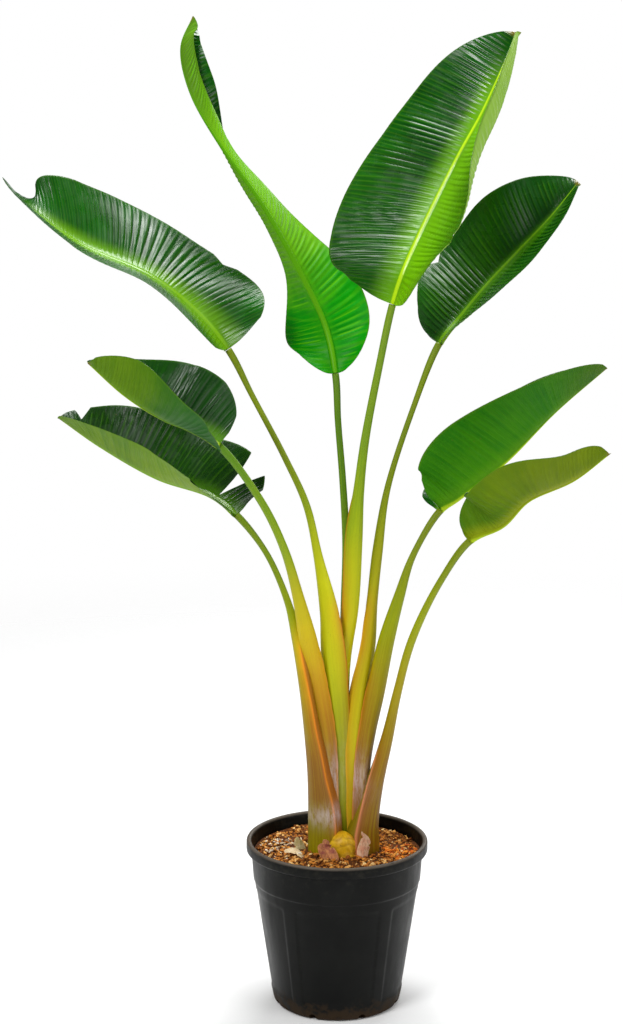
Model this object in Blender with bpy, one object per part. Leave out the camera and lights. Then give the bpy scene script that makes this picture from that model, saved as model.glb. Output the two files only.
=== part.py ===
"""Bird of paradise in a nursery pot: pot, potting mix, rootstock, leaf stalks, blades and dry sheaths."""
import math

import bmesh
import bpy
import numpy as np

# Driving dimensions, in metres. The pot stands on z = 0, with its axis on the Z axis.
GAP = 0.0004
MIX_GAP = 0.00085
RIM_RADIUS = 0.135
POT_HEIGHT = 0.25
POT_SEGMENTS = 50
PANEL_COUNT = 5
PANEL_DEPTH = 0.001
DRAIN_COUNT = 8
DRAIN_RADIUS = 0.006
SOIL_LEVEL = 0.2305
SOIL_SEGMENTS = 42
BLADE_THICKNESS = 0.0010
BLADE_ROWS = 19
BLADE_STEPS = (0.0, 0.3, 0.66, 1.0)
KEEL_RADIUS = 0.0052
FLAT_BELOW = 0.022
JOINT_GAP = 0.0006
WIDEST_AT = 0.38
STALK_SIDES = 12
STALK_RINGS = 18

# Pot wall as (radius, height): outside from the base up to the rim, then inside down to the floor.
POT_OUTSIDE = [
    (0.0300, 0.0), (0.0330, 0.0025), (0.0780, 0.0025), (0.0810, 0.0), (0.0885, 0.0),
    (0.0925, 0.0012), (0.0950, 0.0040), (0.0984, 0.0200),
    (0.0990, 0.0240), (0.1212, 0.1720), (0.1218, 0.1780),
    (0.1228, 0.1860), (0.1232, 0.1885), (0.1246, 0.1905), (0.1276, 0.2325),
    (0.1330, 0.2335), (0.1350, 0.2360), (0.1350, 0.2470), (0.1335, 0.2493), (0.1310, 0.2500),
]
POT_INSIDE = [
    (0.1285, 0.2488), (0.1272, 0.2460), (0.1250, 0.2325), (0.1220, 0.1905),
    (0.1204, 0.1865), (0.0945, 0.0120), (0.0915, 0.0065), (0.0810, 0.0052), (0.0300, 0.0052),
]
PANEL_RINGS = (8, 9)

# Each leaf: a stalk route (x, y, z, half width, half depth), a rib route, and the blade's shape along it.
# Roll is the upper face's turn about the rib, in degrees. Fold, curl and sweep are degrees from base to tip:
# the half's lift at the rib, the further bend out to its edge, and the lean of its veins towards the tip.
# A tear is (place along the rib, depth as a share of the half, half length along the rib).
LEAVES = {
    "twisted": {
        "stalk": [
            (0.008, 0.030, 0.192, 0.0071, 0.007), (0.008, 0.028, 0.395, 0.0071, 0.0065),
            (0.011, 0.027, 0.579, 0.0066, 0.006), (0.013, 0.029, 0.691, 0.006, 0.0056),
            (0.008, 0.037, 0.785, 0.0054, 0.0052), (0.001, 0.053, 0.871, 0.0051, 0.005),
        ],
        "rib": [
            (-0.003, 0.067, 0.937), (-0.018, 0.096, 1.006), (-0.056, 0.109, 1.085),
            (-0.109, 0.115, 1.179), (-0.171, 0.121, 1.267), (-0.214, 0.129, 1.342),
            (-0.228, 0.145, 1.405), (-0.212, 0.175, 1.451),
        ],
        "roll": [187, 176, 176, 167, 102, 65],
        "half_width": 0.092,
        "narrowing": [1, 0.95, 0.68, 0.58, 0.75, 1],
        "left": {
            "fold": [-10, 48, 63, 63, 54],
            "curl": [-50, 5, 33, 34, 34],
            "sweep": [-1, 20, 42, 54, 35],
            "tears": [],
        },
        "right": {
            "fold": [7, 63, 61, 63, 63],
            "curl": [-50, 5, 26, 34, 34],
            "sweep": [11, 6, 6, 7, 14],
            "tears": [],
        },
    },
    "broad": {
        "stalk": [
            (0.009, 0.020, 0.198, 0.0108, 0.011), (0.007, 0.020, 0.367, 0.0106, 0.011),
            (0.008, 0.018, 0.505, 0.011, 0.0115), (0.0185, 0.015, 0.600, 0.0132, 0.0122),
            (0.023, 0.013, 0.700, 0.0135, 0.012), (0.030, 0.013, 0.771, 0.0085, 0.008),
            (0.039, 0.014, 0.847, 0.0066, 0.0058), (0.059, 0.017, 0.954, 0.0057, 0.0052),
        ],
        "rib": [
            (0.078, 0.022, 1.042), (0.091, 0.018, 1.085), (0.113, 0.030, 1.135), (0.142, 0.039, 1.195),
            (0.173, 0.050, 1.255), (0.208, 0.076, 1.316), (0.260, 0.116, 1.427),
        ],
        "roll": [43, 31, 31, 25, 31],
        "half_width": 0.143,
        "narrowing": [1, 1],
        "left": {
            "fold": [10, 4, -1, 23],
            "curl": [0, -8, -15, -4],
            "sweep": [-9, -18, -4, 12, 12],
            "tears": [],
        },
        "right": {
            "fold": [34, 20, 28, 35],
            "curl": [19, 53, 85, 70],
            "sweep": [0, -2, 6, 16, 11],
            "tears": [(0.27, 0.06, 0.03)],
        },
    },
    "upper_right": {
        "stalk": [
            (0.022, 0.007, 0.197, 0.013, 0.012), (0.022, 0.006, 0.320, 0.0135, 0.012),
            (0.0235, 0.005, 0.409, 0.015, 0.0125), (0.0305, 0.010, 0.472, 0.0145, 0.0115),
            (0.044, 0.020, 0.535, 0.0118, 0.0095), (0.051, 0.030, 0.606, 0.0085, 0.0078),
            (0.059, 0.041, 0.679, 0.008, 0.0064), (0.073, 0.054, 0.767, 0.0051, 0.005),
            (0.110, 0.070, 0.883, 0.0044, 0.0044),
        ],
        "rib": [
            (0.149, 0.080, 0.980), (0.182, 0.101, 1.019), (0.219, 0.114, 1.062), (0.265, 0.126, 1.110),
            (0.315, 0.136, 1.162), (0.356, 0.147, 1.212),
        ],
        "roll": [55, 55, 42, 53],
        "half_width": 0.105,
        "narrowing": [1, 1],
        "left": {
            "fold": [48, 20, 40, 20],
            "curl": [16, -9, -7, -25],
            "sweep": [9, 11, 16, 26, 41],
            "tears": [(0.27, 0.1, 0.035)],
        },
        "right": {
            "fold": [39, 27, 34, 27],
            "curl": [7, 8, 19, 22],
            "sweep": [-18, -3, 6, 12, 13],
            "tears": [],
        },
    },
    "upper_left": {
        "stalk": [
            (0.003, 0.008, 0.202, 0.0157, 0.014), (0.005, 0.008, 0.296, 0.0157, 0.014),
            (0.006, 0.006, 0.402, 0.0155, 0.013), (0.001, 0.002, 0.479, 0.017, 0.012),
            (-0.0045, -0.001, 0.532, 0.0195, 0.0105), (-0.0115, -0.001, 0.596, 0.0145, 0.0085),
            (-0.028, 0.004, 0.678, 0.0072, 0.006), (-0.045, 0.012, 0.752, 0.0056, 0.0052),
            (-0.076, 0.020, 0.820, 0.0048, 0.0048), (-0.124, 0.029, 0.911, 0.0044, 0.0044),
        ],
        "rib": [
            (-0.158, 0.027, 0.977), (-0.203, 0.037, 1.031), (-0.268, 0.034, 1.083),
            (-0.363, 0.023, 1.127), (-0.431, 0.005, 1.177), (-0.472, 0.029, 1.214),
        ],
        "roll": [37, 63, 69, 96],
        "half_width": 0.121,
        "narrowing": [1, 1],
        "left": {
            "fold": [47, 30, 26, 11],
            "curl": [2, -5, -5, -9],
            "sweep": [-14, -7, 4, 19, 33],
            "tears": [],
        },
        "right": {
            "fold": [44, 16, 29, 1],
            "curl": [-8, -15, -1, -10],
            "sweep": [-7, -17, 14, 31, 8],
            "tears": [(0.27, 0.07, 0.03)],
        },
    },
    "middle_right": {
        "stalk": [
            (0.033, 0.000, 0.201, 0.0142, 0.017), (0.034, -0.002, 0.295, 0.0138, 0.016),
            (0.0365, -0.002, 0.362, 0.013, 0.014), (0.0445, -0.001, 0.419, 0.0135, 0.012),
            (0.0555, 0.001, 0.474, 0.014, 0.0108), (0.071, 0.004, 0.551, 0.0122, 0.009),
            (0.090, 0.009, 0.617, 0.0085, 0.007), (0.110, 0.016, 0.676, 0.0051, 0.005),
        ],
        "rib": [
            (0.150, 0.030, 0.740), (0.177, 0.044, 0.757), (0.246, 0.061, 0.808), (0.321, 0.076, 0.881),
            (0.396, 0.093, 0.942),
        ],
        "roll": [113, 108, 88, 76],
        "half_width": 0.102,
        "narrowing": [1, 1],
        "left": {
            "fold": [40, 46, 27, 9],
            "curl": [5, 27, 10, -10],
            "sweep": [-10, 1, 14, 29, 45],
            "tears": [],
        },
        "right": {
            "fold": [66, 66, 51, 44],
            "curl": [13, 10, 5, 7],
            "sweep": [-22, -18, -7, 12, 32],
            "tears": [],
        },
    },
    "middle_left": {
        "stalk": [
            (-0.01, 0.002, 0.202, 0.0199, 0.019), (-0.012, 0.002, 0.297, 0.0199, 0.0185),
            (-0.018, 0.001, 0.402, 0.0199, 0.016), (-0.0285, -0.006, 0.476, 0.0172, 0.0125),
            (-0.043, -0.023, 0.560, 0.0138, 0.0095), (-0.0565, -0.041, 0.627, 0.0088, 0.007),
            (-0.076, -0.06, 0.700, 0.0064, 0.0054), (-0.108, -0.08, 0.773, 0.0058, 0.0048),
        ],
        "rib": [
            (-0.166, -0.102, 0.856), (-0.206, -0.123, 0.884), (-0.240, -0.145, 0.901),
            (-0.290, -0.163, 0.935), (-0.338, -0.180, 0.981),
        ],
        "roll": [45, 55, 82, 97],
        "half_width": 0.087,
        "narrowing": [1, 1],
        "left": {
            "fold": [42, 50, 59, 40],
            "curl": [8, 23, 23, 10],
            "sweep": [0, 10, 21, 30, 39],
            "tears": [],
        },
        "right": {
            "fold": [35, 45, 33, 12],
            "curl": [0, 8, -3, -20],
            "sweep": [-7, -11, -4, 11, 28],
            "tears": [],
        },
    },
    "lower_right": {
        "stalk": [
            (0.036, -0.006, 0.203, 0.0268, 0.0225), (0.037, -0.007, 0.252, 0.0262, 0.022),
            (0.0415, -0.008, 0.280, 0.0208, 0.0205), (0.054, -0.011, 0.335, 0.0142, 0.015),
            (0.072, -0.017, 0.406, 0.0094, 0.010), (0.087, -0.025, 0.481, 0.0068, 0.007),
            (0.107, -0.036, 0.562, 0.0061, 0.0056), (0.146, -0.056, 0.653, 0.0051, 0.0048),
        ],
        "rib": [
            (0.187, -0.076, 0.717), (0.230, -0.095, 0.743), (0.263, -0.116, 0.782),
            (0.323, -0.137, 0.814), (0.369, -0.153, 0.853),
        ],
        "roll": [91, 88, 88, 107],
        "half_width": 0.084,
        "narrowing": [1, 1],
        "left": {
            "fold": [22, 17, 12, 7],
            "curl": [4, -5, -13, -21],
            "sweep": [-21, -6, 8, 21, 33],
            "tears": [],
        },
        "right": {
            "fold": [64, 57, 43, 49],
            "curl": [40, 31, 19, 20],
            "sweep": [0, -1, 8, 24, 42],
            "tears": [],
        },
    },
    "lower_left": {
        "stalk": [
            (-0.017, -0.005, 0.203, 0.0262, 0.024), (-0.018, -0.006, 0.287, 0.0255, 0.023),
            (-0.0275, -0.011, 0.366, 0.0172, 0.0175), (-0.037, -0.016, 0.428, 0.0128, 0.0125),
            (-0.0475, -0.02, 0.497, 0.010, 0.0092), (-0.0595, -0.019, 0.564, 0.008, 0.007),
            (-0.073, -0.013, 0.616, 0.0055, 0.0053), (-0.104, -0.007, 0.686, 0.0046, 0.0046),
        ],
        "rib": [
            (-0.146, -0.004, 0.740), (-0.185, 0.029, 0.764), (-0.264, 0.055, 0.785),
            (-0.350, 0.075, 0.829), (-0.411, 0.092, 0.868),
        ],
        "roll": [42, 65, 69, 82],
        "half_width": 0.101,
        "narrowing": [1, 1],
        "left": {
            "fold": [46, 50, 51, 33],
            "curl": [11, 7, 2, -14],
            "sweep": [-4, 0, 2, 17, 34],
            "tears": [],
        },
        "right": {
            "fold": [38, 25, 40, 23],
            "curl": [-5, -8, 4, 0],
            "sweep": [-22, -14, 0, 21, 41],
            "tears": [(0.15, 0.93, 0.05), (0.88, 0.45, 0.035)],
        },
    },
}
# Lumpy crown of the root: (x, y, z, half width, half depth), from the top down.
ROOTSTOCK = [
    (0.008, -0.021, 0.2665, 0.0050, 0.0045), (0.008, -0.0215, 0.262, 0.0125, 0.0110),
    (0.008, -0.021, 0.250, 0.0195, 0.0175), (0.008, -0.017, 0.230, 0.0250, 0.0225),
    (0.008, -0.009, 0.208, 0.0460, 0.0330), (0.010, -0.004, 0.185, 0.0500, 0.0360),
    (0.010, -0.002, 0.160, 0.0360, 0.0280), (0.010, 0.0, 0.146, 0.0120, 0.0100),
]

# Dry sheath ends round the crown: rib route, half width, roll, fold and curl.
DRY_SHEATHS = {
    "dry_sheath_front": {
        "rib": [
            (-0.003, -0.046, 0.224), (-0.013, -0.049, 0.240),
            (-0.019, -0.050, 0.254), (-0.014, -0.054, 0.265),
        ],
        "half_width": 0.013, "roll": [185, 175, 160], "fold": [10, 15, 20], "curl": [10, 20, 20],
    },
    "dry_sheath_right": {
        "rib": [
            (0.038, -0.037, 0.224), (0.038, -0.040, 0.243),
            (0.041, -0.044, 0.260), (0.036, -0.048, 0.276),
        ],
        "half_width": 0.009, "roll": [200, 180, 150], "fold": [15, 25, 30], "curl": [10, 20, 20],
    },
    "dry_sheath_left": {
        "rib": [
            (-0.044, -0.030, 0.226), (-0.056, -0.035, 0.239),
            (-0.068, -0.038, 0.244), (-0.078, -0.037, 0.241),
        ],
        "half_width": 0.009, "roll": [100, 90, 80], "fold": [-10, -15, -20], "curl": [-10, -15, -15],
    },
    "dry_sheath_back_left": {
        "rib": [(-0.050, -0.006, 0.225), (-0.056, -0.008, 0.240), (-0.060, -0.010, 0.254)],
        "half_width": 0.008, "roll": [30, 20, 10], "fold": [-15, -20, -25], "curl": [-10, -15, -15],
    },
}

# Material per piece: colour, roughness, metallic.
FINISH = {
    "pot": ((0.012, 0.012, 0.011), 0.48, 0.0),
    "soil": ((0.17, 0.075, 0.032), 0.95, 0.0),
    "rootstock": ((0.30, 0.24, 0.05), 0.7, 0.0),
    "stalk": ((0.20, 0.33, 0.045), 0.45, 0.0),
    "blade": ((0.03, 0.19, 0.02), 0.35, 0.0),
    "dry": ((0.48, 0.30, 0.16), 0.85, 0.0),
}


def clear_scene():
    for obj in list(bpy.data.objects):
        bpy.data.objects.remove(obj, do_unlink=True)


def make_material(name, finish):
    colour, roughness, metallic = finish
    mat = bpy.data.materials.new(name)
    mat.use_nodes = True
    shader = mat.node_tree.nodes["Principled BSDF"]
    shader.inputs["Base Color"].default_value = (*colour, 1.0)
    shader.inputs["Roughness"].default_value = roughness
    shader.inputs["Metallic"].default_value = metallic
    mat.diffuse_color = (*colour, 1.0)
    return mat


def make_object(name, verts, faces, finish, smooth=True):
    mesh = bpy.data.meshes.new(name)
    mesh.from_pydata([tuple(float(c) for c in v) for v in verts], [], faces)
    mesh.validate()
    work = bmesh.new()
    work.from_mesh(mesh)
    bmesh.ops.recalc_face_normals(work, faces=work.faces)
    work.to_mesh(mesh)
    work.free()
    obj = bpy.data.objects.new(name, mesh)
    bpy.context.scene.collection.objects.link(obj)
    if finish is not None:
        mesh.materials.append(make_material(name + "_surface", finish))
    for poly in mesh.polygons:
        poly.use_smooth = smooth
    return obj


def unit(v):
    return v / np.maximum(np.linalg.norm(v, axis=-1, keepdims=True), 1e-12)


def spline(points, count, lead=None, follow=None):
    """Centripetal curve through the points, evenly spaced by length."""
    p = np.asarray(points, float)
    first = 2 * p[0] - p[1] if lead is None else np.asarray(lead, float)
    last = 2 * p[-1] - p[-2] if follow is None else np.asarray(follow, float)
    q = np.vstack([first, p, last])
    parts = []
    for i in range(1, len(q) - 2):
        a, b, c, d = q[i - 1:i + 3]
        t1 = np.linalg.norm((b - a)[:3]) ** 0.5
        t2 = t1 + np.linalg.norm((c - b)[:3]) ** 0.5
        t3 = t2 + np.linalg.norm((d - c)[:3]) ** 0.5
        t = np.linspace(t1, t2, 24, endpoint=False)[:, None]
        ab = (t1 - t) / t1 * a + t / t1 * b
        bc = (t2 - t) / (t2 - t1) * b + (t - t1) / (t2 - t1) * c
        cd = (t3 - t) / (t3 - t2) * c + (t - t2) / (t3 - t2) * d
        abc = (t2 - t) / t2 * ab + t / t2 * bc
        bcd = (t3 - t) / (t3 - t1) * bc + (t - t1) / (t3 - t1) * cd
        parts.append((t2 - t) / (t2 - t1) * abc + (t - t1) / (t2 - t1) * bcd)
    curve = np.vstack(parts + [p[-1:]])
    steps = np.linalg.norm(np.diff(curve[:, :3], axis=0), axis=1)
    run = np.concatenate([[0.0], np.cumsum(steps)])
    return curve, run


def sample(curve, run, places):
    at = np.asarray(places) * run[-1]
    return np.stack([np.interp(at, run, curve[:, k]) for k in range(curve.shape[1])], 1)


def ramp(values, s):
    """Smooth run through evenly spaced values."""
    v = np.asarray(values, float)
    x = s * (len(v) - 1)
    i = np.clip(x.astype(int), 0, len(v) - 2)
    f = x - i
    slope = np.gradient(v)
    start = (2 * f**3 - 3 * f**2 + 1) * v[i] + (f**3 - 2 * f**2 + f) * slope[i]
    end = (3 * f**2 - 2 * f**3) * v[i + 1] + (f**3 - f**2) * slope[i + 1]
    return start + end


def outline(s):
    """Share of the full half width along the blade."""
    before = np.clip(1 - s / WIDEST_AT, 0, 1)
    after = np.clip((s - WIDEST_AT) / (1 - WIDEST_AT), 0, 1)
    base = (1 - before**2.2) ** (1 / 2.2)
    tip = (1 - after**2) ** 0.75
    return np.where(s < WIDEST_AT, base, tip)


def rib_frame(rib_points, roll, s, lead):
    """Rib positions with the tangent, the upper face's normal and the side direction."""
    curve, run = spline(rib_points, 0, lead=lead)
    rib = sample(curve, run, s)
    ahead = sample(curve, run, np.clip(s + 0.01, 0, 1))
    behind = sample(curve, run, np.clip(s - 0.01, 0, 1))
    tangent = unit(ahead - behind)
    front = np.array([0.0, -1.0, 0.0])
    way = np.asarray(rib_points[-1], float) - np.asarray(rib_points[0], float)
    turn = 1.0 if np.cross(way, front)[2] > 0 else -1.0
    rise = unit(np.cross(tangent, front)) * turn
    facing = unit(front - (tangent @ front)[:, None] * tangent)
    angle = np.radians(ramp(roll, s))[:, None]
    normal = np.cos(angle) * facing + np.sin(angle) * rise
    return rib, tangent, normal, np.cross(tangent, normal)


def half_surface(frame, s, half, width, keel, steps):
    """One half of a blade, from the rib to its edge, as columns of points."""
    rib, tangent, normal, side = frame
    full = np.maximum(width * outline(s), keel)
    for at, depth, length in half.get("tears", ()):
        full = full * (1 - depth * np.clip(1 - np.abs(s - at) / length, 0, 1))
        full = np.maximum(full, keel)
    flat = np.minimum(1, np.maximum(width * outline(s), keel) / FLAT_BELOW)
    fold = np.radians(ramp(half["fold"], s)) * flat
    curl = np.radians(ramp(half["curl"], s)) * flat
    sweep = np.radians(ramp(half["sweep"], s)) * np.minimum(1, s / 0.05)
    inner = np.minimum(0.5, keel / full)
    fine = 16
    here = rib.copy()
    line = [rib.copy()]
    for j in range(fine):
        mid = (j + 0.5) / fine
        lift = (fold * min(1.0, mid / 0.10) + curl * mid)[:, None]
        out = np.cos(lift) * side + np.sin(lift) * normal
        lean = (sweep * (0.75 + 0.5 * mid))[:, None]
        here = here + (np.cos(lean) * out + np.sin(lean) * tangent) * (full / fine)[:, None]
        line.append(here)
    line = np.stack(line, 1)
    columns = []
    for step in steps:
        at = (inner + (1 - inner) * step) * fine
        low = np.minimum(at.astype(int), fine - 1)
        rows = np.arange(len(s))
        part = (at - low)[:, None]
        columns.append(line[rows, low] * (1 - part) + line[rows, low + 1] * part)
    return columns


def blade_solid(name, leaf, lead, thickness, keel_radius, rows, finish, start_gap):
    """A closed thin blade: two faces, an edge all round and a keel under the rib."""
    s = sorted(list(np.linspace(0, 1, rows)) + [0.01, 0.027, 0.985])
    for key in ("left", "right"):
        for at, depth, length in leaf[key].get("tears", ()):
            s = [v for v in s if not at - length * 1.1 < v < at + length * 1.1]
            s += [at - length, at, at + length]
    s = np.array(sorted(s))
    rib, tangent, normal, side = rib_frame(leaf["rib"], leaf["roll"], s, lead)
    rib = rib + tangent * (start_gap * (1 - s))[:, None]
    keel = keel_radius * (1 - 0.82 * s)
    columns = [rib]
    for key, sign in (("left", -1.0), ("right", 1.0)):
        frame = (rib, tangent, normal, sign * side)
        width = leaf["half_width"] * ramp(leaf["narrowing"], s)
        half = half_surface(frame, s, leaf[key], width, keel, BLADE_STEPS)
        columns = half[::-1] + columns if sign < 0 else columns + half
    grid = np.stack(columns, 1)
    count, across = grid.shape[:2]
    facing = unit(np.cross(np.gradient(grid, axis=0), np.gradient(grid, axis=1)))
    middle = across // 2
    if (facing[:, middle] * normal).sum() < 0:
        facing = -facing
    facing[0] = unit(facing[0] - (facing[0] @ tangent[0])[:, None] * tangent[0])
    upper = grid + facing * thickness / 2
    lower = grid - facing * thickness / 2
    lower[:, middle] -= normal * np.maximum(keel, thickness * 0.6)[:, None]
    verts = np.concatenate([upper.reshape(-1, 3), lower.reshape(-1, 3)])
    under = count * across
    faces = []
    for i in range(count - 1):
        for j in range(across - 1):
            a = i * across + j
            b, c, d = a + 1, a + across + 1, a + across
            # Both faces of the sheet are split along the same, shorter diagonal, so they never cross.
            straight = np.linalg.norm(grid[i, j] - grid[i + 1, j + 1])
            crossing = np.linalg.norm(grid[i, j + 1] - grid[i + 1, j])
            halves = ((a, b, c), (a, c, d)) if straight <= crossing else ((a, b, d), (b, c, d))
            for half in halves:
                faces.append(half)
                faces.append(tuple(v + under for v in reversed(half)))
    border = [j for j in range(across)]
    border += [i * across + across - 1 for i in range(1, count)]
    border += [(count - 1) * across + j for j in range(across - 2, -1, -1)]
    border += [i * across for i in range(count - 2, 0, -1)]
    for k in range(len(border)):
        a = border[k]
        b = border[(k + 1) % len(border)]
        faces.append((a, a + under, b + under, b))
    return make_object(name, verts, faces, finish)


def sweep_rings(route, count, sides, grow=0.0, follow=None):
    """Elliptical rings along a route of (x, y, z, half width, half depth)."""
    curve, run = spline(route, 0, follow=follow)
    places = np.linspace(0, 1, count)
    c = sample(curve, run, places)
    ahead = sample(curve, run, np.clip(places + 0.004, 0, 1))
    behind = sample(curve, run, np.clip(places - 0.004, 0, 1))
    tangent = unit(ahead[:, :3] - behind[:, :3])
    back = np.array([0.0, 1.0, 0.0])
    deep = unit(back - (tangent @ back)[:, None] * tangent)
    wide = np.cross(tangent, deep)
    angles = np.arange(sides) * 2 * math.pi / sides
    across = np.cos(angles)[None, :, None] * wide[:, None] * (c[:, 3] + grow)[:, None, None]
    depth = np.sin(angles)[None, :, None] * deep[:, None] * (c[:, 4] + grow)[:, None, None]
    rings = c[:, None, :3] + across + depth
    if grow:
        rings[0] -= tangent[0] * grow
        rings[-1] += tangent[-1] * grow
    return rings


def ring_solid(name, rings, finish):
    """A closed solid through rings, with a flat cap at each end."""
    count, sides = rings.shape[:2]
    verts = rings.reshape(-1, 3)
    faces = []
    for i in range(count - 1):
        for j in range(sides):
            k = (j + 1) % sides
            faces.append((i * sides + j, i * sides + k, (i + 1) * sides + k, (i + 1) * sides + j))
    faces.append(tuple(range(sides)))
    faces.append(tuple((count - 1) * sides + j for j in range(sides)))
    return make_object(name, verts, faces, finish)


def keep_largest(obj):
    """Drop loose crumbs that a cut leaves behind."""
    work = bmesh.new()
    work.from_mesh(obj.data)
    left = set(work.verts)
    groups = []
    while left:
        stack = [left.pop()]
        group = set(stack)
        while stack:
            vert = stack.pop()
            for edge in vert.link_edges:
                other = edge.other_vert(vert)
                if other in left:
                    left.discard(other)
                    group.add(other)
                    stack.append(other)
        groups.append(group)
    groups.sort(key=len)
    for group in groups[:-1]:
        bmesh.ops.delete(work, geom=list(group), context="VERTS")
    work.to_mesh(obj.data)
    work.free()


def cut(obj, cutters):
    """Take the cutters out of a solid, one after the other, and remove them."""
    for tool in cutters:
        tool.hide_render = True
        tool.display_type = "WIRE"
        step = obj.modifiers.new("cut_" + tool.name, "BOOLEAN")
        step.operation = "DIFFERENCE"
        step.solver = "EXACT"
        step.object = tool
        bpy.context.view_layer.update()
        graph = bpy.context.evaluated_depsgraph_get()
        result = bpy.data.meshes.new_from_object(obj.evaluated_get(graph))
        obj.modifiers.clear()
        obj.data = result
        bpy.data.objects.remove(tool, do_unlink=True)
        work = bmesh.new()
        work.from_mesh(obj.data)
        bmesh.ops.remove_doubles(work, verts=work.verts, dist=0.00003)
        bmesh.ops.dissolve_degenerate(work, edges=work.edges, dist=0.00002)
        work.to_mesh(obj.data)
        work.free()
        keep_largest(obj)


def build_pot():
    profile = POT_OUTSIDE + POT_INSIDE
    verts = []
    per_panel = POT_SEGMENTS // PANEL_COUNT
    for index, (radius, height) in enumerate(profile):
        for k in range(POT_SEGMENTS):
            angle = 2 * math.pi * (k + 0.5) / POT_SEGMENTS - math.pi / 2 + math.pi / PANEL_COUNT
            recess = PANEL_DEPTH if index in PANEL_RINGS and 1 < k % per_panel < per_panel - 1 else 0.0
            r = radius - recess
            verts.append((r * math.cos(angle), r * math.sin(angle), height))
    faces = []
    for i in range(len(profile) - 1):
        for k in range(POT_SEGMENTS):
            n = (k + 1) % POT_SEGMENTS
            a, b = i * POT_SEGMENTS, (i + 1) * POT_SEGMENTS
            faces.append((a + k, a + n, b + n, b + k))
    faces.append(tuple(range(POT_SEGMENTS)))
    faces.append(tuple((len(profile) - 1) * POT_SEGMENTS + k for k in range(POT_SEGMENTS)))
    pot = make_object("nursery_pot", verts, faces, FINISH["pot"])
    drills = []
    for k in range(DRAIN_COUNT):
        angle = 2 * math.pi * (k + 0.5) / DRAIN_COUNT
        centre = np.array([0.0905 * math.cos(angle), 0.0905 * math.sin(angle), 0.0055])
        way = unit(np.array([math.cos(angle), math.sin(angle), -0.75]))
        around = np.array([-math.sin(angle), math.cos(angle), 0.0])
        upright = np.cross(way, around)
        rings = []
        for shift in (-0.016, 0.016):
            turns = np.arange(10) * 2 * math.pi / 10
            rings.append(centre + way * shift + DRAIN_RADIUS * (
                np.cos(turns)[:, None] * around + np.sin(turns)[:, None] * upright))
        drills.append(ring_solid("drill_%d" % k, np.array(rings), None))
    cut(pot, drills)
    return pot


def soil_side(height):
    """Radius of the mix where it meets the pot wall."""
    inside = sorted((h, r) for r, h in POT_INSIDE)
    return float(np.interp(height, [h for h, r in inside], [r for h, r in inside])) - 0.0005


def build_soil():
    low = 0.0060
    levels = [low, 0.0125, 0.10, 0.186, 0.191]
    verts = [(0.0, 0.0, low)]
    rings = [(soil_side(h) - (0.0012 if h == low else 0.0), h) for h in levels]
    tops = [1.0, 0.86, 0.66, 0.45, 0.22]
    loops = []
    for radius, height in rings:
        loops.append([(radius, height)] * SOIL_SEGMENTS)
    edge = soil_side(SOIL_LEVEL)
    for share in tops:
        loop = []
        for k in range(SOIL_SEGMENTS):
            angle = 2 * math.pi * k / SOIL_SEGMENTS
            lumps = 0.0016 * math.sin(3 * angle + 9 * share) + 0.0012 * math.sin(7 * angle - 5 * share)
            height = SOIL_LEVEL + 0.003 * (1 - share) + lumps * (1 if share < 1 else 0.5)
            loop.append((edge * share, height))
        loops.append(loop)
    for loop in loops:
        for k, (radius, height) in enumerate(loop):
            angle = 2 * math.pi * k / SOIL_SEGMENTS
            safe = min(radius, soil_side(min(height, 0.2455)))
            verts.append((safe * math.cos(angle), safe * math.sin(angle), height))
    verts.append((0.0, 0.0, SOIL_LEVEL + 0.003))
    last = len(verts) - 1
    faces = []
    for i in range(len(loops) - 1):
        for k in range(SOIL_SEGMENTS):
            n = (k + 1) % SOIL_SEGMENTS
            a, b = 1 + i * SOIL_SEGMENTS, 1 + (i + 1) * SOIL_SEGMENTS
            faces.append((a + k, a + n, b + n, b + k))
    for k in range(SOIL_SEGMENTS):
        n = (k + 1) % SOIL_SEGMENTS
        faces.append((0, 1 + n, 1 + k))
        top = 1 + (len(loops) - 1) * SOIL_SEGMENTS
        faces.append((top + k, top + n, last))
    return make_object("potting_mix", verts, faces, FINISH["soil"], smooth=False)


def stalk_route(leaf):
    rib = leaf["rib"]
    return leaf["stalk"] + [tuple(rib[0]) + (KEEL_RADIUS, KEEL_RADIUS)], tuple(rib[1]) + (0.0048, 0.0048)


def stalk_rings(leaf, grow=0.0):
    route, follow = stalk_route(leaf)
    return sweep_rings(route, STALK_RINGS, STALK_SIDES, grow, follow)


def dry_solid(name, spec, grow=0.0):
    half = {"fold": spec["fold"], "curl": spec["curl"], "sweep": [0, 10, 30]}
    wide = dict(spec, left=half, right=half, narrowing=[1, 1], half_width=spec["half_width"] + grow)
    thick = BLADE_THICKNESS + 2 * grow
    if grow:
        first = np.array(spec["rib"][0])
        second = np.array(spec["rib"][1])
        wide["rib"] = [tuple(first - unit(second - first) * grow)] + spec["rib"][1:]
    return blade_solid(name, wide, None, thick, 0.0016 + grow, 4, FINISH["dry"], 0.0)


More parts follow.
